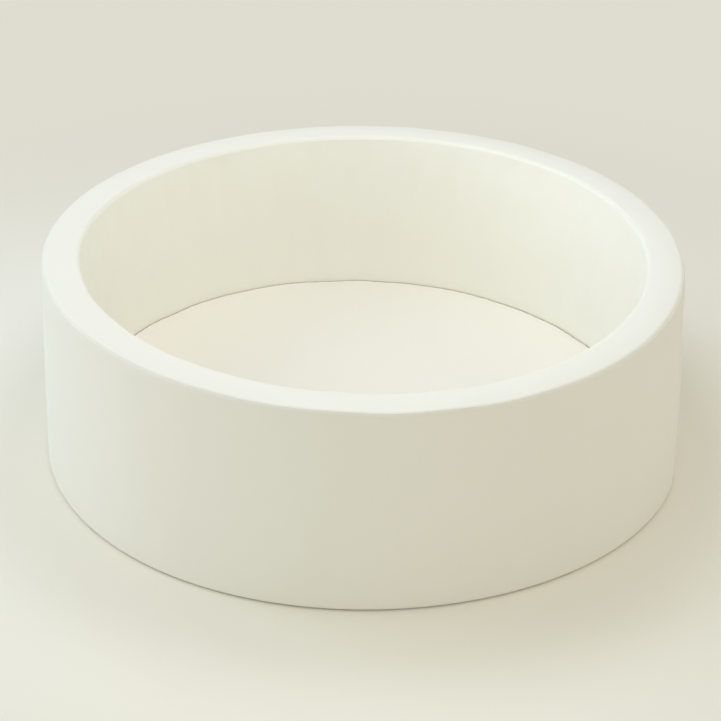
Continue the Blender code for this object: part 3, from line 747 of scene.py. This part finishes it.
def inner_panel(material):
    """The leatherette sheet round the inside, down to its foot under the foam."""
    floor = MAT_BOTTOM + UNDERSIDE_LIFT
    heel = (INNER_RADIUS + LIP_ROLL, floor + LIP_ROLL)
    path = RIM_INNER_SEAM.leave(math.pi, FINE_ARC)
    path += [np.array([INNER_RADIUS, z]) for z in inner_heights(INNER_CENTRE[1], heel[1])[1:]]
    path += arc(heel, LIP_ROLL, math.pi, 1.5 * math.pi, HEEL_POINTS)[1:]
    path += line((heel[0], floor), (FOOT_RADIUS, floor), FOOT_ROWS)
    angles = round_angles(INNER_CLOSING_SEAM)
    return turn_sheet("inner_cover", thicken(path, SHEET), angles, settle_inner, material)


def bottom_disc(name, floor, seam, thickness, settle, material):
    """A flat round sheet whose edge turns up into its seam."""
    rounding = seam.rounding
    edge, end = seam.edge(-1)
    path = [np.array([0.0, floor])]
    path += line((0, floor), (seam.centre[0], floor), DISC_RINGS)
    path += arc((seam.centre[0], floor + rounding), rounding, -math.pi / 2, end, PLAIN_ARC)[1:-1]
    outline = thicken(path + edge, thickness)
    outline[-1][0] = 0.0
    return turn_disc(name, outline, round_angles(), settle, material)


def base_panel(material):
    """The cloth under the ring, which closes the cover's underside."""
    return bottom_disc("base_cover", UNDERSIDE_LIFT, FOOT_SEAM, SHEET - UNDERSIDE_LIFT, settle_wall, material)


def mat_bottom(material):
    """The cloth under the mat."""
    return bottom_disc("mat_bottom_cover", MAT_BOTTOM, MAT_LOW_SEAM, SHEET, settle_mat, material)


def mat_top(material):
    """The mat's crowned top sheet."""
    path = MAT_HIGH_SEAM.leave(math.pi / 2, PLAIN_ARC)
    rings = MAT_HIGH_CENTRE[0] * (1 - np.linspace(0, 1, CROWN_RINGS)[1:] ** CROWN_RING_POWER)
    path += [np.array([radius, MAT_TOP + crown_at(radius)]) for radius in rings]
    outline = thicken(path, SHEET)
    under_pole = len(path)
    outline[under_pole][0] = 0.0
    ordered = np.vstack([outline[under_pole:], outline[:under_pole]])
    return turn_disc("mat_top_cover", ordered, round_angles(), settle_mat, material)


def waist_at(height):
    """The radius of the mat's side, which is drawn in between its seams."""
    share = np.clip(abs(height - MAT_ZIP.middle) - MAT_ZIP.slot_half, 0, None)
    room = MAT_HIGH_CENTRE[1] - MAT_ZIP.middle - MAT_ZIP.slot_half
    return MAT_WAIST + MAT_DRAW_IN * fade(share, 0, room)


def mat_gusset(material):
    """The mat's side strip."""
    low, high = slot_heights(MAT_ZIP)
    lower = np.linspace(MAT_LOW_CENTRE[1], low[0], GUSSET_ROWS)[:-1]
    upper = np.linspace(high[-1], MAT_HIGH_CENTRE[1], GUSSET_ROWS)[1:]
    path = MAT_LOW_SEAM.leave(0, PLAIN_ARC)[:-1]
    slot_start = len(path) + len(lower) + len(low) - 1
    path += [np.array([waist_at(z), z]) for z in (*lower, *low, *high, *upper)]
    path += MAT_HIGH_SEAM.enter(0, PLAIN_ARC)
    return slotted_sheet("mat_side_cover", path, slot_start, MAT_ZIP, settle_mat, material)


# How foam is cut: its edges, and the hollow behind each zip
RING_FOAM_CUT = 0.0095
RING_FOOT_CUT = 0.014
MAT_FOAM_CUT = 0.0060
RING_HOLLOW = 0.0045
MAT_HOLLOW = 0.0042
HOLLOW_MOUTH = 0.0145
HOLLOW_FLOOR = 0.0055
FOAM_RISE = 0.0004
SIDE_START = 0.004
HALF_GAP_ANGLE = 0.0008


def zip_hollow(face, depth, run):
    """The points of the hollow behind a zip, from below up."""
    spots = ((0, -HOLLOW_MOUTH), (depth, -HOLLOW_FLOOR), (depth, HOLLOW_FLOOR), (0, HOLLOW_MOUTH))
    return [(face - inward, run.middle + up) for inward, up in spots]


def foam_ring(name, start, end, material):
    """One half of the ring's foam, a little inside the sheets."""
    inner = INNER_RADIUS + SHEET + LAYER_GAP
    outer = OUTER_RADIUS - SHEET - LAYER_GAP
    low = MAT_BOTTOM + SHEET + 2 * LAYER_GAP
    high = HEIGHT - SHEET - LAYER_GAP
    cut = RING_FOAM_CUT
    outline = np.array([
        (inner + RING_FOOT_CUT, low), (outer - cut, low), (outer, low + cut),
        *zip_hollow(outer, RING_HOLLOW, WALL_ZIP),
        *line((outer, WALL_ZIP.middle + HOLLOW_MOUTH), (outer, high - cut), FOAM_SIDE_ROWS),
        (outer - cut, high), *line((outer - cut, high), (inner + cut, high), FOAM_TOP_ROWS),
        *[(inner, z) for z in inner_heights(high - cut, low + SIDE_START)],
    ])
    angles = np.linspace(start + HALF_GAP_ANGLE, end - HALF_GAP_ANGLE, FOAM_STEPS + 1)
    return turn_sheet(name, outline, angles, settle_ring_foam, material, is_whole=False)


def mat_foam(material):
    """The mat's foam disc."""
    face = MAT_WAIST - SHEET - LAYER_GAP
    low = MAT_BOTTOM + SHEET + LAYER_GAP
    high = MAT_TOP - SHEET - 2 * LAYER_GAP
    cut = MAT_FOAM_CUT
    rings = (face - cut) * np.linspace(1, 0, MAT_FOAM_RINGS)
    outline = np.array([
        (0, low), (face - cut, low), (face, low + cut), *zip_hollow(face, MAT_HOLLOW, MAT_ZIP),
        (face, high - cut), *[(radius, high + crown_at(radius)) for radius in rings],
    ])
    angles = np.linspace(0, 2 * math.pi, FOAM_STEPS + 1)[:-1]
    return turn_disc("mat_foam_block", outline, angles, settle_mat, material)


class Wire:
    """An output socket; arithmetic on it adds Math nodes to its tree."""

    def __init__(self, nodes, socket):
        self.nodes = nodes
        self.socket = socket

    def __add__(self, other):
        return self.nodes.maths("ADD", self, other)

    def __sub__(self, other):
        return self.nodes.maths("SUBTRACT", self, other)

    def __rsub__(self, other):
        return self.nodes.maths("SUBTRACT", other, self)

    def __mul__(self, other):
        return self.nodes.maths("MULTIPLY", self, other)

    def __truediv__(self, other):
        return self.nodes.maths("DIVIDE", self, other)

    def __rtruediv__(self, other):
        return self.nodes.maths("DIVIDE", other, self)

    __radd__ = __add__
    __rmul__ = __mul__


class Nodes:
    """A node tree under construction."""

    def __init__(self, tree):
        self.tree = tree

    def feed(self, socket, value):
        """Link a wire or set a plain value."""
        if isinstance(value, Wire):
            self.tree.links.new(value.socket, socket)
        elif isinstance(value, tuple) and socket.type == "RGBA":
            socket.default_value = (*value, 1.0)
        else:
            socket.default_value = value

    def node(self, kind, output=0, settings=None, numbered=None, **named):
        """Add a node, set it up, feed its sockets and give one of its outputs.

        Sockets that share a name go by number, and in a name _ stands for a space.
        """
        made = self.tree.nodes.new(kind)
        for key, value in (settings or {}).items():
            setattr(made, key, value)
        for number, value in (numbered or {}).items():
            self.feed(made.inputs[number], value)
        for key, value in named.items():
            self.feed(made.inputs[key.replace("_", " ")], value)
        return Wire(self, made.outputs[output])

    def maths(self, operation, first, second=0.0):
        """One Math node."""
        return self.node("ShaderNodeMath", 0, {"operation": operation}, {0: first, 1: second})

    def seen_or_mirrored(self):
        """1 for what the camera sees, straight or in a shine."""
        seen = self.node("ShaderNodeLightPath", "Is Camera Ray")
        return self.maths("MAXIMUM", seen, self.node("ShaderNodeLightPath", "Is Glossy Ray"))


class Finish(Nodes):
    """A material under construction, with one Principled shader."""

    def __init__(self, name):
        self.material = bpy.data.materials.new(name)
        self.material.use_nodes = True
        super().__init__(self.material.node_tree)
        self.shader = self.tree.nodes["Principled BSDF"]
        self.at = self.node("ShaderNodeTexCoord", "Object")

    def noise(self, scale, detail=3.0, roughness=0.55):
        """A noise value between 0 and 1."""
        return self.node("ShaderNodeTexNoise", "Fac", Vector=self.at, Scale=scale, Detail=detail,
                         Roughness=roughness)

    def cells(self, scale, feature="F1"):
        """The distance to the nearest point of a Voronoi pattern."""
        return self.node("ShaderNodeTexVoronoi", "Distance", {"feature": feature}, Vector=self.at,
                         Scale=scale)

    def bands(self, direction, at, scale, distortion):
        """Even soft bands in one direction."""
        settings = {"wave_type": "BANDS", "bands_direction": direction}
        return self.node("ShaderNodeTexWave", "Fac", settings, Vector=at, Scale=scale, Distortion=distortion)

    def ramp(self, value, start, end, low=0.0, high=1.0):
        """Map one range to another, smoothly and without running past it."""
        return self.node("ShaderNodeMapRange", 0, {"interpolation_type": "SMOOTHSTEP"}, Value=value,
                         From_Min=start, From_Max=end, To_Min=low, To_Max=high)

    def mix(self, share, first, second):
        """Mix two colours."""
        return self.node("ShaderNodeMix", 2, {"data_type": "RGBA"}, {0: share, 6: first, 7: second})

    def bump(self, height, distance, strength, **under):
        """A bump from a height between 0 and 1, on top of another one if that is given as its Normal."""
        return self.node("ShaderNodeBump", Height=height, Distance=distance, Strength=strength, **under)

    def set(self, **sockets):
        """Feed the shader."""
        for key, value in sockets.items():
            self.feed(self.shader.inputs[key.replace("_", " ")], value)
        return self.material


# Tones of the leatherettes, plain, cool and warm, and of the floor
WALL_TONES = ((0.880, 0.872, 0.802), (0.872, 0.870, 0.810), (0.886, 0.872, 0.788))
MAT_TONES = ((0.903, 0.868, 0.789), (0.895, 0.866, 0.797), (0.909, 0.868, 0.775))
FLOOR_TONES = ((0.938, 0.923, 0.838), (0.950, 0.935, 0.851))


def leatherette(name, tones):
    """Smooth matte leatherette: fine pebbled grain, faint clouds of tone and a little uneven sheen."""
    colour, cool_colour, warm_colour = tones
    finish = Finish(name)
    clouds = finish.noise(3.2, 3.0, 0.5)
    blotches = finish.noise(19.0, 4.0, 0.6)
    tone = finish.mix(finish.ramp(clouds, 0.35, 0.65), cool_colour, warm_colour)
    tone = finish.mix(finish.ramp(blotches, 0.3, 0.7, 0.0, 0.55), colour, tone)
    pebbles = finish.ramp(finish.cells(900.0, "SMOOTH_F1"), 0.05, 0.65)
    creases = finish.ramp(finish.noise(340.0, 4.0, 0.6), 0.3, 0.7)
    grain = finish.bump(pebbles * 0.65 + creases * 0.35, 0.00012, 0.55)
    soft = finish.bump(finish.noise(24.0, 2.0, 0.5), 0.0012, 0.35, Normal=grain)
    gloss = finish.ramp(finish.noise(11.0, 3.0, 0.5), 0.3, 0.7, 0.44, 0.53)
    return finish.set(Base_Color=tone, Roughness=gloss + pebbles * 0.06, Normal=soft,
                      Specular_IOR_Level=0.42, Sheen_Weight=0.05, Sheen_Roughness=0.6)


def woven_cloth(name, dark, light, threads):
    """A fine plain weave with soft slubs."""
    finish = Finish(name)
    spread = finish.node("ShaderNodeVectorMath", 0, {"operation": "SCALE"}, Vector=finish.at, Scale=threads)
    weave = finish.bands("X", spread, 1.0, 0.4) * finish.bands("Y", spread, 1.0, 0.4)
    slubs = finish.noise(70.0, 4.0, 0.6)
    tone = finish.mix(finish.ramp(weave * 0.6 + slubs * 0.5, 0.1, 0.8), dark, light)
    return finish.set(Base_Color=tone, Roughness=0.86, Normal=finish.bump(weave, 0.0003, 0.6),
                      Specular_IOR_Level=0.25, Sheen_Weight=0.15)


def open_foam(name):
    """Open-cell foam, cut with a knife."""
    finish = Finish(name)
    pores = finish.ramp(finish.cells(620.0), 0.1, 0.6)
    tone = finish.mix(pores, (0.80, 0.78, 0.68), (0.66, 0.63, 0.52))
    return finish.set(Base_Color=tone, Roughness=0.95, Normal=finish.bump(pores, 0.0006, 0.8))


def moulded_plastic(name, colour, shade):
    """Ivory moulded teeth with a soft shine."""
    finish = Finish(name)
    tone = finish.mix(finish.noise(160.0, 3.0), shade, colour)
    skin = finish.bump(finish.noise(2400.0, 2.0), 0.00003, 0.4)
    rough = finish.ramp(finish.noise(60.0), 0.3, 0.7, 0.30, 0.42)
    return finish.set(Base_Color=tone, Roughness=rough, Normal=skin)


def lacquered_metal(name, colour, shade):
    """Cast metal under ivory lacquer, rubbed a little where fingers and cloth pass."""
    finish = Finish(name)
    rubbed = finish.ramp(finish.noise(420.0, 4.0, 0.65), 0.58, 0.72)
    tone = finish.mix(rubbed * 0.35, colour, shade)
    rough = finish.ramp(finish.noise(180.0, 3.0), 0.3, 0.7, 0.26, 0.40)
    skin = finish.bump(finish.noise(900.0, 2.0), 0.00004, 0.5)
    return finish.set(Base_Color=tone, Roughness=rough, Metallic=rubbed * 0.5, Normal=skin, Coat_Weight=0.4,
                      Coat_Roughness=0.2)


def rubber_dots(name):
    """Soft clear-ivory rubber printed on the underside."""
    finish = Finish(name)
    tone = finish.mix(finish.noise(90.0, 3.0), (0.60, 0.59, 0.54), (0.70, 0.69, 0.63))
    return finish.set(Base_Color=tone, Roughness=finish.ramp(finish.noise(200.0), 0.3, 0.7, 0.5, 0.65))


def sewing_thread(name):
    """Polyester thread with its twist."""
    finish = Finish(name)
    twist = finish.bands("DIAGONAL", finish.at, 900.0, 1.0)
    tone = finish.mix(twist, (0.68, 0.66, 0.57), (0.83, 0.81, 0.72))
    return finish.set(Base_Color=tone, Roughness=0.6, Normal=finish.bump(twist, 0.0001, 0.6))


class CopyTree(Nodes):
    """A Geometry Nodes tree that sets out copies of one piece, with its sizes as named inputs."""

    def __init__(self, name, **inputs):
        super().__init__(bpy.data.node_groups.new(name, "GeometryNodeTree"))
        for label, kind in {"Piece": "Object", "Material": "Material", **inputs}.items():
            self.tree.interface.new_socket(label, in_out="INPUT", socket_type=f"NodeSocket{kind}")
        self.tree.interface.new_socket("Geometry", in_out="OUTPUT", socket_type="NodeSocketGeometry")
        self.inputs = self.tree.nodes.new("NodeGroupInput").outputs

    def given(self, label):
        """One of the named inputs."""
        return Wire(self, self.inputs[label])

    def finish(self, points, **choices):
        """Set a copy on each point, make the copies real and give them their material."""
        piece = self.node("GeometryNodeObjectInfo", "Geometry", Object=self.given("Piece"))
        copies = self.node("GeometryNodeInstanceOnPoints", Points=points, Instance=piece, **choices)
        real = self.node("GeometryNodeRealizeInstances", Geometry=copies)
        painted = self.node("GeometryNodeSetMaterial", Geometry=real, Material=self.given("Material"))
        self.feed(self.tree.nodes.new("NodeGroupOutput").inputs[0], painted)
        return self.tree


def arc_row_tree():
    """Copies of one piece along a level arc, each facing out."""
    row = CopyTree("pieces_along_an_arc", Count="Int", Radius="Float", Height="Float", Start="Float",
                   Step="Float")
    points = row.node("GeometryNodeMeshLine", Count=row.given("Count"), Offset=(0.0, 0.0, 0.0))
    angle = row.node("GeometryNodeInputIndex") * row.given("Step") + row.given("Start")
    across = row.maths("COSINE", angle) * row.given("Radius")
    along = row.maths("SINE", angle) * row.given("Radius")
    spot = row.node("ShaderNodeCombineXYZ", X=across, Y=along, Z=row.given("Height"))
    placed = row.node("GeometryNodeSetPosition", Geometry=points, Position=spot)
    return row.finish(placed, Rotation=row.node("ShaderNodeCombineXYZ", Z=angle))


def dot_field_tree():
    """Copies of one piece on a staggered grid, inside a circle."""
    field = CopyTree("dots_in_a_circle", Rows="Int", Pitch="Float", Radius="Float", Height="Float")
    rows, pitch = field.given("Rows"), field.given("Pitch")
    side = pitch * (rows - 1.0)
    grid = field.node("GeometryNodeMeshGrid", Size_X=side, Size_Y=side, Vertices_X=rows, Vertices_Y=rows)
    place = field.node("GeometryNodeInputPosition")
    row = field.maths("ROUND", field.node("ShaderNodeSeparateXYZ", "X", Vector=place) / pitch)
    shift = field.maths("PINGPONG", row, 1.0) * (pitch * 0.5)
    offset = field.node("ShaderNodeCombineXYZ", Y=shift, Z=field.given("Height"))
    moved = field.node("GeometryNodeSetPosition", Geometry=grid, Offset=offset)
    flat = field.node("ShaderNodeVectorMath", 0, {"operation": "MULTIPLY"}, {0: place, 1: (1.0, 1.0, 0.0)})
    reach = field.node("ShaderNodeVectorMath", "Value", {"operation": "LENGTH"}, {0: flat})
    return field.finish(moved, Selection=field.maths("LESS_THAN", reach, field.given("Radius")))


def grow(name, tree, **values):
    """Run a tree on an empty mesh, with its inputs set by identifier, and keep the result as a mesh."""
    carrier = link(name, bpy.data.meshes.new(name))
    modifier = carrier.modifiers.new("grow", "NODES")
    modifier.node_group = tree
    for item in tree.interface.items_tree:
        if item.in_out == "INPUT":
            modifier[item.identifier] = values[item.name]
    bpy.context.view_layer.update()
    evaluated = carrier.evaluated_get(bpy.context.evaluated_depsgraph_get())
    result = bpy.data.meshes.new_from_object(evaluated)
    carrier.modifiers.clear()
    carrier.data = result
    result.shade_smooth()
    result.set_sharp_from_angle(angle=COPY_CREASE)
    return carrier


def pattern_piece(name, add, *shape):
    """A small mesh to be copied by a tree; it is removed after its last use."""
    mesh = bpy.data.meshes.new(name)
    work = bmesh.new()
    add(work, *shape)
    bmesh.ops.recalc_face_normals(work, faces=work.faces)
    work.to_mesh(mesh)
    work.free()
    return link(name, mesh)


SIDES = ((1, "upper"), (-1, "lower"))

# A tooth's blocks, as top, bottom, back, front and half width: its clamp on the tape, its neck and its head
TOOTH_BLOCKS = (
    (0.0021, 0.0009, -0.0010, 0.0010, 0.00095),
    (0.0010, 0.00055, -0.0006, 0.0006, 0.0005),
    (0.00065, 0.00022, -0.0007, 0.0007, 0.00075),
)
TOOTH_BEVEL = 0.00016

# A stitch's rings, as shares of its half length along, its half width, and its lift over the sheet
STITCH_SHARES = (
    (-1.0, 0.25, -0.9), (-0.7, 0.85, -0.1), (0.0, 1.0, 0.35), (0.7, 0.85, -0.1), (1.0, 0.25, -0.9),
)
STITCH_HALF_LENGTH = 0.00125
STITCH_HALF_WIDTH = 0.00026
STITCH_CORNERS = 6

# How wide the edges of the stops, the sliders and the pull are rounded
STOP_EDGE = 0.0003
SLIDER_EDGE = 0.00018
PULL_EDGE = 0.0002
EDGE_SEGMENTS = 2
EDGE_ANGLE = math.radians(30)
FLAT_ANGLE = math.radians(1)
COPY_CREASE = math.radians(40)
MERGE_REACH = 0.00001

# A rubber dot's rings, as shares of its radius and its rise, and the grid of dots
DOT_SHARES = ((1.0, 0.0), (0.82, 0.7), (0.4, 1.0))
DOT_RADIUS = 0.0016
DOT_RISE = 0.00028
DOT_CORNERS = 8
DOT_ROWS = 72
DOT_PITCH = 0.0125
DOTS_OFF_EDGE = 0.016


def add_tooth(work, side):
    """A moulded tooth, on the upper tape with side 1 and on the lower one with side -1."""
    for top, bottom, back, front, half in TOOTH_BLOCKS:
        low, high = sorted((side * top, side * bottom))
        first, last = Vector((back, -half, low)), Vector((front, half, high))
        place = Matrix.Translation((first + last) / 2) @ Matrix.Diagonal((*(last - first), 1.0))
        corners = bmesh.ops.create_cube(work, size=1.0, matrix=place)["verts"]
        edges = list({edge for corner in corners for edge in corner.link_edges})
        bmesh.ops.bevel(work, geom=edges, offset=TOOTH_BEVEL, segments=1, affect="EDGES", profile=0.5)


def add_rings(work, rings, corners, place):
    """A closed form of rings of points, with one row of shares for each ring."""
    turns = [2 * math.pi * corner / corners for corner in range(corners)]
    loops = [[work.verts.new(place(turn, *shares)) for turn in turns] for shares in rings]
    for one, other in zip(loops, loops[1:]):
        for face in zip(one, one[1:] + one[:1], other[1:] + other[:1], other):
            work.faces.new(face)
    work.faces.new(loops[0])
    work.faces.new(loops[-1])


def stitch_place(turn, along, swell, lift):
    """A place on a stitch, which dips into the sheet at both ends."""
    out = STITCH_HALF_WIDTH * (lift + swell * math.cos(turn))
    return out, STITCH_HALF_LENGTH * along, STITCH_HALF_WIDTH * swell * math.sin(turn)


def dot_place(turn, width, drop):
    """A place on a low round dot of rubber, which bulges downwards."""
    radius = DOT_RADIUS * width
    return radius * math.cos(turn), radius * math.sin(turn), -DOT_RISE * drop


def dress(piece, node, body):
    """Let a piece ride on its body, in place of a CAD node."""
    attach(piece, body)
    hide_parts(node)


def zip_tape(run, side, word, material):
    """The woven tape above or below a zip's teeth, which goes on, hidden, past the slot's ends."""
    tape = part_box(f"{run.name}_tape_upper")
    edge = run.middle + side * (tape[0].z - run.middle)
    far = run.middle + side * (tape[1].z - run.middle)
    inner, outer = run.tape_radius - TAPE_THICKNESS / 2, run.tape_radius + TAPE_THICKNESS / 2
    section = np.array([(inner, edge), (outer, edge), (outer, far), (inner, far)][::side])
    hidden = TAPE_HIDDEN_END / run.tape_radius
    angles = np.linspace(run.start - hidden, run.end + hidden, TAPE_STEPS)
    piece = turn_sheet(f"{run.name}_cloth_tape_{word}", section, angles, unmoved, material, is_whole=False)
    dress(piece, f"{run.name}_tape_{word}", run.body)


def zip_teeth(run, side, word, rows, material):
    """One row of teeth; the two rows stand half a pitch apart, so that they mesh."""
    clear = TEETH_OFF_STOP / run.tape_radius
    usable = run.end - run.start - 2 * clear
    count = int(usable * run.tape_radius / TOOTH_PITCH)
    step = usable / count
    first = run.start + clear + (0.5 - 0.25 * side) * step
    tooth = pattern_piece("one_tooth", add_tooth, side)
    teeth = grow(f"{run.name}_teeth_{word}", rows, Piece=tooth, Count=count, Radius=run.tape_radius,
                 Height=run.middle, Start=first, Step=step, Material=material)
    bpy.data.objects.remove(tooth, do_unlink=True)
    dress(teeth, f"{run.name}_row_{word}", run.body)


def zip_stitches(run, side, word, rows, stitch, material):
    """The topstitching beside a slot."""
    length = run.end - run.start
    count = int(length * run.thread_radius / TOPSTITCH_PITCH)
    height = run.middle + side * (run.slot_half + TOPSTITCH_INSET)
    seam = grow(f"{run.name}_stitches_{word}", rows, Piece=stitch, Count=count, Radius=run.thread_radius,
                Height=height, Start=run.start, Step=length / (count - 1), Material=material)
    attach(seam, run.body)


def softened_copy(node, name, width, material, body):
    """A CAD piece with its sharp edges rounded, as casting and lacquer leave them."""
    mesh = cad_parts[node].data.copy()
    work = bmesh.new()
    work.from_mesh(mesh)
    bmesh.ops.remove_doubles(work, verts=work.verts, dist=MERGE_REACH)
    bmesh.ops.dissolve_limit(work, angle_limit=FLAT_ANGLE, verts=work.verts, edges=work.edges)
    work.to_mesh(mesh)
    work.free()
    mesh.materials.clear()
    mesh.materials.append(material)
    made = link(name, mesh)
    bevel = made.modifiers.new("edges", "BEVEL")
    bevel.width = width
    bevel.segments = EDGE_SEGMENTS
    bevel.limit_method = "ANGLE"
    bevel.angle_limit = EDGE_ANGLE
    mesh.shade_smooth()
    dress(made, node, body)


def build_covers():
    """The sheets of the ring and the mat, and the foam in them."""
    wall_skin = leatherette("cream_leatherette", WALL_TONES)
    mat_skin = leatherette("cream_mat_leatherette", MAT_TONES)
    underside = woven_cloth("pale_backing_cloth", (0.50, 0.49, 0.44), (0.66, 0.65, 0.59), 2200.0)
    foam = open_foam("off_white_foam")
    for piece, node, body, slot, fill in (
        (outer_panel(wall_skin), "outer_panel", "wall", "wall_leatherette", 0.9),
        (rim_panel(wall_skin), "rim_panel", "wall", "wall_leatherette", 0.9),
        (inner_panel(wall_skin), "inner_panel", "wall", "wall_leatherette", 0.9),
        (base_panel(underside), "base_panel", "wall", "underside_cloth", 0.9),
        (foam_ring("foam_back_half", 0, math.pi, foam), "foam_wall_back", "wall", "foam", 0.9),
        (foam_ring("foam_front_half", math.pi, 2 * math.pi, foam), "foam_wall_front", "wall", "foam", 0.9),
        (mat_top(mat_skin), "mat_top_panel", "mat", "mat_leatherette", 0.8),
        (mat_gusset(mat_skin), "mat_gusset", "mat", "mat_leatherette", 0.8),
        (mat_bottom(underside), "mat_bottom_panel", "mat", "underside_cloth", 0.8),
        (mat_foam(foam), "mat_foam", "mat", "foam", 0.8),
    ):
        dress(piece, node, body)


def build_zips():
    """Both zips, with their stops and sliders."""
    tape = woven_cloth("ivory_zip_tape", (0.58, 0.56, 0.48), (0.76, 0.74, 0.65), 4200.0)
    teeth = moulded_plastic("ivory_teeth", (0.80, 0.78, 0.69), (0.72, 0.70, 0.61))
    lacquer = lacquered_metal("ivory_lacquered_metal", (0.78, 0.76, 0.67), (0.55, 0.54, 0.50))
    thread = sewing_thread("cream_thread")
    rows = arc_row_tree()
    stitch = pattern_piece("one_stitch", add_rings, STITCH_SHARES, STITCH_CORNERS, stitch_place)
    for run in (WALL_ZIP, MAT_ZIP):
        for side, word in SIDES:
            zip_tape(run, side, word, tape)
            zip_teeth(run, side, word, rows, teeth)
        for side, word in SIDES:
            zip_stitches(run, side, word, rows, stitch, thread)
    bpy.data.objects.remove(stitch, do_unlink=True)
    for run in (WALL_ZIP, MAT_ZIP):
        for end in ("closed_end", "open_end"):
            stop = f"{run.name}_stop_{end}"
            softened_copy(stop, f"{stop}_block", STOP_EDGE, teeth, run.body)
    for node, name, edge, body in (
        ("wall_zip_slider", "wall_slider_cast", SLIDER_EDGE, "wall_slider"),
        ("wall_zip_pull", "wall_pull_tab", PULL_EDGE, "wall_pull"),
        ("mat_zip_slider", "mat_slider_cast", SLIDER_EDGE, "mat_slider"),
    ):
        softened_copy(node, name, edge, lacquer, body)


def build_grips():
    """The rubber dots that keep the underside from sliding."""
    dot = pattern_piece("one_dot", add_rings, DOT_SHARES, DOT_CORNERS, dot_place)
    rubber = rubber_dots("ivory_rubber")
    grips = grow("underside_grip_dots", dot_field_tree(), Piece=dot, Rows=DOT_ROWS, Pitch=DOT_PITCH,
                 Radius=OUTER_RADIUS - DOTS_OFF_EDGE, Height=UNDERSIDE_LIFT, Material=rubber)
    bpy.data.objects.remove(dot, do_unlink=True)
    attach(grips, "wall")


# Soft square lamps: name, place, side, power, colour
LAMPS = (
    ("overhead_soft", (0.0, 0.0, 1.15), 0.5, 3.9, (0.87, 0.942, 1.0)),
    ("left_window", (-3.0, 0.4, 1.5), 2.2, 33.8, (0.84, 0.93, 1.0)),
    ("left_high_fill", (-2.4, 0.6, 2.6), 2.0, 4.2, (0.84, 0.93, 1.0)),
    ("front_left_fill", (-2.6, -2.0, 1.5), 2.0, 6.8, (0.84, 0.93, 1.0)),
    ("front_fill", (0.4, -3.2, 2.2), 2.4, 19.8, (1.0, 0.885, 0.58)),
    ("right_fill", (3.0, 0.4, 1.6), 2.2, 15.8, (1.0, 0.89, 0.61)),
)
SKY_COLOUR = (1.0, 1.0, 1.0)
SKY_STRENGTH = 0.444
SEEN_SKY_COLOUR = (0.74, 0.72, 0.63)
FLOOR_SIDE = 24.0
FLOOR_FADE = (0.55, 1.5)


def area_lamp(name, place, size, power, colour):
    """A soft square lamp that faces the pit's middle."""
    data = bpy.data.lights.new(name, "AREA")
    data.shape = "SQUARE"
    data.size = size
    data.energy = power
    data.color = colour
    lamp = link(name, data)
    lamp.location = place
    lamp.rotation_euler = (Vector((0, 0, HEIGHT / 2)) - Vector(place)).to_track_quat("-Z", "Y").to_euler()


def pale_floor():
    """A cream floor, lit and shaded round the pit, that fades to an even tone farther off."""
    finish = Finish("pale_floor")
    tone = finish.mix(finish.ramp(finish.noise(1.3, 2.0), 0.3, 0.7), *FLOOR_TONES)
    finish.set(Base_Color=tone, Roughness=0.7, Specular_IOR_Level=0.2)
    lit = Wire(finish, finish.shader.outputs[0])
    reach = finish.node("ShaderNodeVectorMath", "Value", {"operation": "LENGTH"}, Vector=finish.at)
    share = finish.seen_or_mirrored() * finish.ramp(reach, *FLOOR_FADE)
    even = finish.node("ShaderNodeEmission", Color=SEEN_SKY_COLOUR)
    mixed = finish.node("ShaderNodeMixShader", numbered={0: share, 1: lit, 2: even})
    finish.feed(finish.tree.nodes["Material Output"].inputs["Surface"], mixed)
    return finish.material


def studio():
    """A pale floor, soft light from above and the left, and a pale surround."""
    bpy.ops.mesh.primitive_plane_add(size=FLOOR_SIDE, location=(0, 0, 0))
    floor = bpy.context.active_object
    floor.name = "studio_floor"
    floor.data.materials.append(pale_floor())

    world = bpy.data.worlds.new("pale_surround")
    bpy.context.scene.world = world
    world.use_nodes = True
    sky = Nodes(world.node_tree)
    lighting = sky.node("ShaderNodeBackground", Color=SKY_COLOUR, Strength=SKY_STRENGTH)
    seen = sky.node("ShaderNodeBackground", Color=SEEN_SKY_COLOUR)
    chosen = sky.node("ShaderNodeMixShader", numbered={0: sky.seen_or_mirrored(), 1: lighting, 2: seen})
    sky.feed(sky.tree.nodes["World Output"].inputs["Surface"], chosen)
    for lamp in LAMPS:
        area_lamp(*lamp)


def camera():
    """The photograph's viewpoint, in the frame's metres and the photograph's pixels."""
    frame_pixels = 721
    focal_pixels = 1825.3
    distance = 2.3032
    eye_height = 1.3789
    tilt = math.radians(28.705)
    roll = math.radians(1.517)
    sensor = 36.0
    data = bpy.data.cameras.new("photo_view")
    data.sensor_width = sensor
    data.lens = sensor * focal_pixels / frame_pixels
    ahead = Vector((0, math.cos(tilt), -math.sin(tilt)))
    right = Vector((1, 0, 0))
    up = right.cross(ahead)
    turned_right = math.cos(roll) * right + math.sin(roll) * up
    turned_up = -math.sin(roll) * right + math.cos(roll) * up
    axes = Matrix((turned_right, turned_up, -ahead)).transposed()
    view = link("photo_view", data)
    view.matrix_world = Matrix.Translation((0, -distance, eye_height)) @ axes.to_4x4()
    bpy.context.scene.camera = view


bpy.context.scene.view_settings.view_transform = "Standard"
pressed_ring = filled_ring()
pressed_mat = filled_mat()
build_covers()
build_zips()
build_grips()
studio()
camera()
